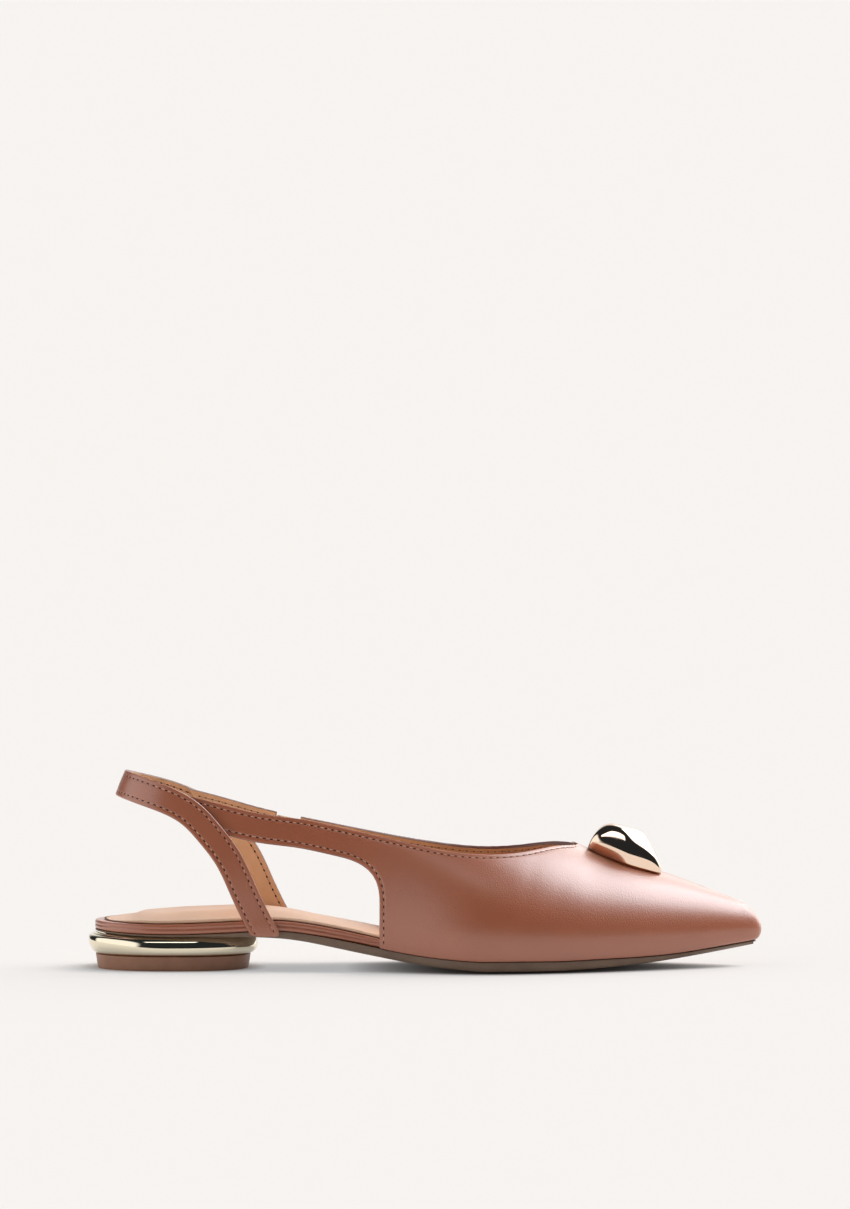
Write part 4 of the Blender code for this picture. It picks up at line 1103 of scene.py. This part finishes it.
def spaced(line, others, pitch):
    """Evenly spaced points along a line, with its normals carried along."""
    run = np.concatenate([[0], np.cumsum(np.linalg.norm(np.diff(line, axis=0), axis=1))])
    at = np.linspace(0, run[-1], max(2, round(run[-1] / pitch)) + 1)
    carried = [np.interp(at, run, values[:, k]) for values in (line, others) for k in range(3)]
    return np.column_stack(carried[:3]), unit(np.column_stack(carried[3:]))


def sew(name, rows):
    """Thread and needle holes along rows of (line, normals facing away from the leather); the holes are dark
    beads of painted shade.
    """
    for kind, finish in (("thread", thread_finish), ("holes", painted_hole_shade_finish)):
        all_points, all_faces = [], []
        for line, normals in rows:
            points, ups = spaced(line, normals, STITCH_PITCH)
            ways = unit(np.gradient(points, axis=0))
            for i in range(len(points)):
                axes = (ways[i], np.cross(ups[i], ways[i]), ups[i])
                if kind == "holes":
                    made = bead(points[i], *axes, HOLE_LENGTH / 2, HOLE_WIDTH / 2, HOLE_STANDS, 4, 8)
                elif i + 1 < len(points):
                    middle = (points[i] + points[i + 1]) / 2 + ups[i] * THREAD_RISE
                    half = (STITCH_PITCH - HOLE_LENGTH) * 0.5
                    made = bead(middle, *axes, half, THREAD_RADIUS, THREAD_STANDS, 5, 6)
                else:
                    continue
                start = len(all_points)
                all_points.extend(made[0])
                all_faces.extend(tuple(start + k for k in face) for face in made[1])
        put(f"{name}_{kind}", all_points, all_faces, [finish])


def seam_rows(edge, towards, wall, inset=STITCH_INSET):
    """The stitch line inside an edge of the last, on the outer and on the inner face."""
    points, _, _, normals = surface(edge[:, 0], edge[:, 1])
    heading = unit(np.gradient(points, axis=0))
    inwards = np.cross(normals, heading)
    facing = np.sign((inwards * (towards - points)).sum(-1, keepdims=True))
    goal = points + inwards * facing * inset
    t, u = settle(edge[:, 0], edge[:, 1], goal, rounds=4)
    line, _, _, normals = surface(t, u)
    return [(line - normals * SEAM_SINK, normals), (line - normals * wall, -normals)]


FIRST_STITCH = 3
rows = []
for sign, (opening, topline) in zip((-1, 1), edge_lines):
    above = np.array([0.62 * SHOE_LENGTH, sign * 0.5 * BALL_WIDTH, 1.1 * THROAT_HEIGHT])
    below = np.array([0.60 * SHOE_LENGTH, sign * 0.6 * BALL_WIDTH, 0.4 * THROAT_HEIGHT])
    rows += seam_rows(opening[FIRST_STITCH:], above, UPPER_WALL)
    rows += seam_rows(topline, below, UPPER_WALL)
sew("upper", rows)

# The inner quarter strap is cut and joined by a short tan elastic, a little narrower than the strap,
# so that the shoe can be pulled on. It is woven with fine ribs across its length, and its colour is
# lighter on the ribs and darker in the hollows between them: painted shade.
GORE_WALL = 1.1 * MM
GORE_WIDTH = 8.4 * MM
elastic, tree, shader = shaded("tan_elastic", 0.8)
ribs = texture(tree, "ShaderNodeTexWave", Scale=1 / (4.4 * MM), Distortion=0.6, Detail=2.0)
# painted shade: the same ribs that make the relief darken the colour in the hollows between them
tones = add_node(tree, "ShaderNodeValToRGB")
tones.color_ramp.elements[0].color = (0.50, 0.29, 0.16, 1)
tones.color_ramp.elements[1].color = (0.66, 0.42, 0.25, 1)
tree.links.new(ribs.outputs["Fac"], tones.inputs["Fac"])
tree.links.new(tones.outputs["Color"], shader.inputs["Base Color"])
in_relief(tree, shader, ribs.outputs["Fac"], 0.7, 0.2 * MM)
STRAP_COLUMNS = 40
STRAP_ROWS = 8
GORE_BULGE = 0.1 * MM
END_SEAM_INSET = 1.3 * MM


def strap_length(name, ends, narrow, wall, stand_off, materials, node, seam):
    """A length of the inner quarter strap between two cuts, each given by its low and its top end."""
    (low_start, top_start), (low_end, top_end) = ends
    shares = np.linspace(0, 1, STRAP_COLUMNS)
    low_x = low_start + (low_end - low_start) * shares
    top_x = top_start + (top_end - top_start) * shares
    low = on_side("medial", low_x, strap_underside("medial", low_x) + narrow)
    high = on_side("medial", top_x, topline_heights["medial"](top_x) - narrow)
    points, _, _, normals = surface(*rows_between(low, high, STRAP_ROWS))
    low_line, high_line = last(*low.T), last(*high.T)
    sunk = np.zeros(points.shape[:2])
    if seam:
        sunk = folded_edge(reach(points, low_line)) + folded_edge(reach(points, high_line))
    outer = points + normals * (stand_off + sunk)[..., None]
    inner = points + normals * (stand_off - wall + LINING_FOLLOWS * sunk)[..., None]
    every = [True] * STRAP_COLUMNS
    bulge = EDGE_BULGE if seam else GORE_BULGE
    points, faces, paint = walled(outer, inner, every, every, (True, True), bulge)
    put(name, points, faces, materials, node, paint)
    if seam:
        middle = (low_line + high_line)[STRAP_COLUMNS // 2] / 2
        first = (low_line + high_line)[0] / 2
        across = np.stack([low[0] * (1 - k) + high[0] * k for k in np.linspace(0.17, 0.83, 8)])
        rows = seam_rows(low[2:-5], middle, wall) + seam_rows(high[2:-5], middle, wall)
        rows += seam_rows(across, middle + (middle - first), wall, END_SEAM_INSET)
        sew(name, rows)


gore_back = GORE_FRONT - GORE_LENGTH
strap_length(
    "elastic",
    ((GORE_FRONT - CUT_LEAN - GAP, GORE_FRONT - GAP), (gore_back - CUT_LEAN + GAP, gore_back + GAP)),
    (QUARTER_STRAP_WIDTH - GORE_WIDTH) / 2,
    GORE_WALL,
    -(UPPER_WALL - GORE_WALL) / 2,
    [elastic, elastic, elastic],
    "elastic_gore",
    seam=False,
)

# The tab behind the elastic is cut from the same lined leather and stitched round. It runs back
# under the sling, which is sewn down over its end.
strap_length(
    "strap_tab",
    ((gore_back - CUT_LEAN, gore_back), (STRAP_END_LOW + 0.014 * SHOE_LENGTH, STRAP_END_TOP)),
    0.0,
    UPPER_WALL,
    0.0,
    lined_leather,
    "medial_tab",
    seam=True,
)

# The sling is one long lined strap, 10 mm wide. It is caught under the board at the waist on both
# sides, rises over the quarter straps, is sewn to them where they cross, and passes behind the heel.
SLING_HEIGHT = 71.4 * MM
SLING_WIDTH = 10.3 * MM
SLING_WALL = 2.0 * MM
# share of the length, outer and inner heights as shares of the sling height, how far forward the
# inner side lies, stand-off
SLING_PATH = (
    ("sole", 0.2660, 0.194, 0.194, 6.0 * MM, -1.3 * MM),
    ("rim", 0.2515, 0.292, 0.292, 6.0 * MM, -1.3 * MM),
    ("lower", 0.2305, 0.452, 0.452, 6.0 * MM, -0.5 * MM),
    ("middle", 0.2065, 0.630, 0.630, 5.6 * MM, 0.3 * MM),
    ("junction", 0.1805, 0.754, 0.752, 4.2 * MM, 0.3 * MM),
    ("bend", 0.1535, 0.856, 0.850, 2.6 * MM, 0.3 * MM),
    ("side", 0.1330, 0.904, 0.895, 1.6 * MM, 0.3 * MM),
    ("heel side", 0.1015, 0.952, 0.940, 0.6 * MM, 0.3 * MM),
    ("heel corner", 0.0760, 0.982, 0.970, 0.0 * MM, 0.3 * MM),
)
SLING_END_BLEND = 16 * MM
SLING_CORNER = 2.2 * MM
SLING_END_PRESS = 0.45 * MM
SLING_PRESS_WIDTH = 1.4 * MM
# height of the swell near each end, where it is highest, and how wide it is
SLING_SWELL, SWELL_MIDDLE, SWELL_WIDTH = 0.12 * MM, 4 * MM, 3 * MM
SEAM_END_MARGIN = 2.0 * MM
SLING_COLUMNS = 240
path_x, outer_z, inner_z, forward, off = np.array([row[1:] for row in SLING_PATH]).T
lateral_spots = on_side("lateral", path_x * SHOE_LENGTH, outer_z * SLING_HEIGHT)
medial_spots = on_side("medial", path_x * SHOE_LENGTH + forward, inner_z * SLING_HEIGHT)
back_rise = np.array([0.6])
for _ in range(20):
    back_rise = back_rise + (SLING_HEIGHT - last(np.array([1.0]), back_rise)[0, 2]) / CONE_HEIGHT
lateral_rows = np.column_stack([lateral_spots, off])
medial_rows = np.column_stack([medial_spots, off])[::-1]
rows = np.vstack([lateral_rows, (1.0, back_rise[0], GAP), medial_rows])
knots = last(rows[:, 0], rows[:, 1])
run = np.concatenate([[0], np.cumsum(np.linalg.norm(np.diff(knots, axis=0), axis=1))])
centre_line = Smooth(run, rows)
total = run[-1]
even = np.linspace(0, total, SLING_COLUMNS)
tips = np.array([0, 0.15, 0.4, 0.75, 1.15, 1.6, 2.1, 2.6, 3.2]) * MM
distances = np.unique(np.concatenate([even, tips, total - tips]))
centre = centre_line(distances)
ahead = centre_line(np.minimum(distances + MM, total))
behind = centre_line(np.maximum(distances - MM, 0))
heading = unit(last(ahead[:, 0], ahead[:, 1]) - last(behind[:, 0], behind[:, 1]))
point, _, _, normal = surface(centre[:, 0], centre[:, 1])
across = np.cross(heading, normal)
level = np.zeros_like(across)
level[:, 0] = np.sign(across[:, 0])
level -= normal * (normal * level).sum(-1, keepdims=True)
from_end = np.minimum(distances, total - distances)
turn = (np.clip(1 - from_end / SLING_END_BLEND, 0, 1) ** 1.5)[:, None]
cut = across * (1 - turn) + unit(level) * turn
cut /= (cut * across).sum(-1, keepdims=True)
narrowed = SLING_CORNER * (1 - np.sqrt(1 - np.clip(1 - from_end / SLING_CORNER, 0, 1) ** 2))
half_width = SLING_WIDTH / 2 - narrowed
sling_rows = np.concatenate([EDGE_ROWS, np.linspace(EDGE_ROWS[-1], SLING_WIDTH - EDGE_ROWS[-1], 9)[1:-1]])
sling_rows = np.concatenate([sling_rows, SLING_WIDTH - EDGE_ROWS[::-1]]) / SLING_WIDTH * 2 - 1
wide = cut[:, None] * (half_width[:, None] * sling_rows[None])[..., None]
count = len(sling_rows)
t = np.repeat(centre[:, 0:1], count, axis=1)
u = np.repeat(centre[:, 1:2], count, axis=1)
t, u = settle(t, u, point[:, None] + wide, rounds=5)
points, _, _, normals = surface(t, u)
stand = np.repeat(centre[:, 2:3], count, axis=1)
away = half_width[:, None] * (1 - np.abs(sling_rows))[None]
end_away = np.repeat(from_end[:, None], count, axis=1)
sunk = folded_edge(away) - SLING_END_PRESS * np.clip(1 - end_away / SLING_PRESS_WIDTH, 0, 1) ** 2
swell = np.exp(-(((end_away - SWELL_MIDDLE) / SWELL_WIDTH) ** 2))
sunk += SLING_SWELL * swell * (1 - sling_rows[None] ** 2)
outer = points + normals * (stand + SLING_WALL + sunk)[..., None]
inner = points + normals * (stand - 0.3 * sunk)[..., None]
every = [True] * len(distances)
points, faces, paint = walled(outer, inner, every, every, (True, True))
put("sling", points, faces, lined_leather, "sling_strap", paint)
rows = []
for edge_side in (-1, 1):
    shift = (half_width - STITCH_INSET)[:, None] * edge_side
    kept = from_end > SEAM_END_MARGIN
    line_t, line_u = settle(centre[kept, 0], centre[kept, 1], (point + cut * shift)[kept], rounds=5)
    line, _, _, line_normals = surface(line_t, line_u)
    lift_off = centre[kept, 2:3]
    rows.append((line + line_normals * (lift_off + SLING_WALL - SEAM_SINK), line_normals))
    rows.append((line + line_normals * lift_off, -line_normals))
sew("sling", rows)

# The ornament is a moulded pebble with soft facets, plated in rose gold and riveted through the vamp
# just ahead of the throat. Its base follows the curve of the leather.
ORNAMENT_CENTRE = 0.7985 * SHOE_LENGTH
ORNAMENT_EDGE = 14.0
# turn from the toe, tilt above the vamp, distance from the middle
ORNAMENT_FACETS = (
    ("top", 180, 87, 12.9 * MM),
    ("front slope", -3, 46, 11.9 * MM),
    ("upper lateral", -60, 53, 11.9 * MM),
    ("upper medial", 60, 51, 12.1 * MM),
    ("back upper", 184, 41, 16.2 * MM),
    ("back wall", 176, 4, 15.1 * MM),
    ("lateral back", -104, 27, 11.7 * MM),
    ("lateral back foot", -106, -22, 8.6 * MM),
    ("lateral front", -74, -3, 10.0 * MM),
    ("lateral front shoulder", -74, 27, 11.2 * MM),
    ("medial back", 110, 18, 9.8 * MM),
    ("medial front", 64, 24, 10.2 * MM),
    ("toe edge", 0, 8, 15.0 * MM),
)
ORNAMENT_BASE_DROP = 0.6 * MM
ORNAMENT_TURNS = 160
ORNAMENT_RINGS = 60
ORNAMENT_FLOOR_SHARES = (0.25, 0.5, 0.75, 0.93)


def ornament_reach(directions):
    """How far the soft-edged pebble reaches from its middle in each direction."""
    total = 0.0
    for _, turn, tilt, distance in ORNAMENT_FACETS:
        turn, tilt = math.radians(turn), math.radians(tilt)
        level = math.cos(tilt)
        facing = np.array([level * math.cos(turn), level * math.sin(turn), math.sin(tilt)])
        total = total + np.clip(directions @ facing / distance, 0, None) ** ORNAMENT_EDGE
    return total ** (-1 / ORNAMENT_EDGE)


def vamp_height(x, y):
    """Height of the vamp at plan points near its middle line."""
    found = np.empty(len(x))
    for side_name, mask in (("lateral", y < crown_y(x)), ("medial", y >= crown_y(x))):
        if mask.any():
            targets = np.stack([x[mask], y[mask], 0 * x[mask]], axis=-1)
            start = place_of(side_name, x[mask], 3)
            t, u = settle(start, np.full(mask.sum(), 0.85), targets, axes=(0, 1), rounds=14)
            found[mask] = last(t, u)[:, 2]
    return found


rose_gold = plated("rose_gold_plating", (0.93, 0.72, 0.56), 0.05)
ORNAMENT_SEAT = 9 * MM
middle = np.array([ORNAMENT_CENTRE, crown_y(ORNAMENT_CENTRE)[0], crown_z(ORNAMENT_CENTRE)[0]])
ends = crown_z([ORNAMENT_CENTRE - ORNAMENT_SEAT, ORNAMENT_CENTRE + ORNAMENT_SEAT])
slope = (ends[1] - ends[0]) / (2 * ORNAMENT_SEAT)
forward = np.array([1.0, 0.0, slope]) / math.hypot(1.0, slope)
upward = np.array([-slope, 0.0, 1.0]) / math.hypot(1.0, slope)
sideways = np.array([0.0, 1.0, 0.0])
turns = np.arange(ORNAMENT_TURNS) * 2 * math.pi / ORNAMENT_TURNS


def pebble_point(tilts):
    """Points of the pebble above each turn, at these tilts, and how far they stand above the vamp."""
    level = np.cos(tilts)
    directions = np.column_stack([level * np.cos(turns), level * np.sin(turns), np.sin(tilts)])
    local = directions * ornament_reach(directions)[:, None]
    place = middle + local[:, :1] * forward + local[:, 1:2] * sideways + local[:, 2:] * upward
    above_vamp = place[:, 2] - vamp_height(place[:, 0], place[:, 1]) - GAP
    return place, np.minimum(above_vamp, local[:, 2] + ORNAMENT_BASE_DROP)


lowest, highest = np.full(ORNAMENT_TURNS, math.radians(-50)), np.full(ORNAMENT_TURNS, math.radians(20))
for _ in range(14):
    half_way = (lowest + highest) / 2
    clear = pebble_point(half_way)[1] > 0
    lowest, highest = np.where(clear, lowest, half_way), np.where(clear, half_way, highest)
shares = np.arange(ORNAMENT_RINGS + 1) / ORNAMENT_RINGS
rings = [pebble_point(highest + (math.pi / 2 - highest) * share)[0] for share in shares]
floor_rings = []
for share in ORNAMENT_FLOOR_SHARES:
    ring = middle + (rings[0] - middle) * share
    ring[:, 2] = vamp_height(ring[:, 0], ring[:, 1]) + GAP
    floor_rings.append(ring)
hub = np.repeat([middle + (0, 0, GAP)], ORNAMENT_TURNS, axis=0)
rings = [hub, *floor_rings, *rings]
points = np.concatenate(rings)
put("ornament_pebble", points, ring_faces(len(rings), ORNAMENT_TURNS), [rose_gold], "ornament")

# A plain pale floor under a studio dome: soft lamps over the toe, behind, at the heel and in front,
# and dark between them, so that the polished metal shows light and dark bands. The floor also glows
# with painted light, and the glow dims close to the shoe into a painted contact shadow.
FLOOR_HALF = 14.0
PAINTED_SHADOW_REACH = 8 * MM
floor_mesh = bpy.data.meshes.new("floor")
corners = [(x * FLOOR_HALF, y * FLOOR_HALF, 0) for x, y in ((-1, -1), (1, -1), (1, 1), (-1, 1))]
floor_mesh.from_pydata(corners, [], [(0, 1, 2, 3)])
floor = bpy.data.objects.new("floor", floor_mesh)
bpy.context.scene.collection.objects.link(floor)
floor_finish_with_painted_glow, tree, shader = shaded("pale_floor_with_painted_glow", 0.9)
shader.inputs["Base Color"].default_value = (0.448, 0.406, 0.367, 1)
shader.inputs["Specular IOR Level"].default_value = 0.0
# painted light: the floor glows in a faint bluish tint, and ambient occlusion dims that glow near the shoe
# into a painted contact shadow
shader.inputs["Emission Strength"].default_value = 1.0
floor_glow_with_painted_shadow = add_node(tree, "ShaderNodeAmbientOcclusion", samples=8)
floor_glow_with_painted_shadow.inputs["Distance"].default_value = PAINTED_SHADOW_REACH
floor_glow_with_painted_shadow.inputs["Color"].default_value = (0.38, 0.392, 0.405, 1)
tree.links.new(floor_glow_with_painted_shadow.outputs["Color"], shader.inputs["Emission Color"])
floor_mesh.materials.append(floor_finish_with_painted_glow)

world = bpy.data.worlds.new("studio")
bpy.context.scene.world = world
world.use_nodes = True
tree = world.node_tree
background = tree.nodes["Background"]
direction = add_node(tree, "ShaderNodeTexCoord")


def facing(aim):
    """How far each direction of the dome points along an aim."""
    dot = add_node(tree, "ShaderNodeVectorMath", operation="DOT_PRODUCT")
    tree.links.new(direction.outputs["Generated"], dot.inputs[0])
    dot.inputs[1].default_value = aim
    return dot.outputs["Value"]


def glow(toward, start, full):
    """A soft-edged round patch of the dome, as a mask: its outer edge and where it is full, in degrees."""
    low, high = math.cos(math.radians(start)), math.cos(math.radians(full))
    return stepped(tree, facing(Vector(toward).normalized()), low, high, "SMOOTHSTEP")


def bar(toward, half_wide, half_high, soft):
    """A soft-edged oblong patch of the dome, as a mask, level with the floor."""
    aim = Vector(toward).normalized()
    level = aim.cross(Vector((0, 0, 1))).normalized()
    ahead = maths(tree, "MAXIMUM", facing(aim), 0.001)
    masks = []
    for axis, half in ((level, half_wide), (level.cross(aim), half_high)):
        away = maths(tree, "ABSOLUTE", maths(tree, "DIVIDE", facing(axis), ahead))
        low, high = math.tan(math.radians(half + soft)), math.tan(math.radians(half))
        masks.append(stepped(tree, away, low, high, "SMOOTHSTEP"))
    return maths(tree, "MULTIPLY", *masks)


# each lamp's mask, strength and tint, on top of a faint even light
DOME = (
    ("key softbox", glow((0.61, 0.13, 0.78), 26, 8), 7.3, (0.965, 1.0, 1.05)),
    ("high back softbox", glow((0.55, 0.66, 0.50), 34, 14), 2.6, (1.0, 0.985, 0.975)),
    ("backdrop", glow((0.62, 1.0, 0.25), 62, 34), 0.9, (1.0, 0.985, 0.965)),
    ("left softbox", glow((-0.85, -0.2, 0.19), 50, 41), 1.15, (1.0, 0.99, 0.99)),
    ("front softbox", bar((-0.02, -0.50, 0.84), 13, 2.5, 2), 2.2, (1.0, 1.0, 1.0)),
)
light = (0.02, 0.024, 0.028)
for _, mask, strength, tint in DOME:
    patch = add_node(tree, "ShaderNodeVectorMath", operation="SCALE")
    patch.inputs[0].default_value = [c * strength for c in tint]
    tree.links.new(mask, patch.inputs["Scale"])
    light = maths(tree, "ADD", light, patch.outputs[0], kind="ShaderNodeVectorMath")
tree.links.new(light, background.inputs["Color"])
background.inputs["Strength"].default_value = 1.0

# The camera looks at the outer side with a long lens, a little above the floor, and leaves the
# shoe low in a tall frame.
FRAME_WIDTH, FRAME_HEIGHT = 850, 1209
PIXELS_PER_MM = 2.57
HEEL_BACK_PIXEL = 87.5
FLOOR_PIXEL = 972.2
FLOOR_LINE_Y = -25 * MM
SENSOR = 36
DISTANCE = 12.0
TILT = math.radians(3.75)
camera_data = bpy.data.cameras.new("camera")
camera = bpy.data.objects.new("camera", camera_data)
bpy.context.scene.collection.objects.link(camera)
bpy.context.scene.camera = camera
camera_data.sensor_width = SENSOR
camera_data.lens = SENSOR * DISTANCE / (FRAME_HEIGHT / PIXELS_PER_MM * MM)
camera_data.clip_end = 60
middle_x = (FRAME_WIDTH / 2 - HEEL_BACK_PIXEL) / PIXELS_PER_MM * MM - SHOE_LENGTH / 2
near_floor_point = Vector((middle_x, FLOOR_LINE_Y, 0))
looking = Vector((0, math.cos(TILT), -math.sin(TILT)))
upright = Vector((0, math.sin(TILT), math.cos(TILT)))
above_centre = (FLOOR_PIXEL - FRAME_HEIGHT / 2) / PIXELS_PER_MM * MM
camera.location = near_floor_point - looking * DISTANCE + upright * above_centre
camera.rotation_euler = (math.pi / 2 - TILT, 0, 0)
bpy.context.scene.view_settings.view_transform = "Standard"
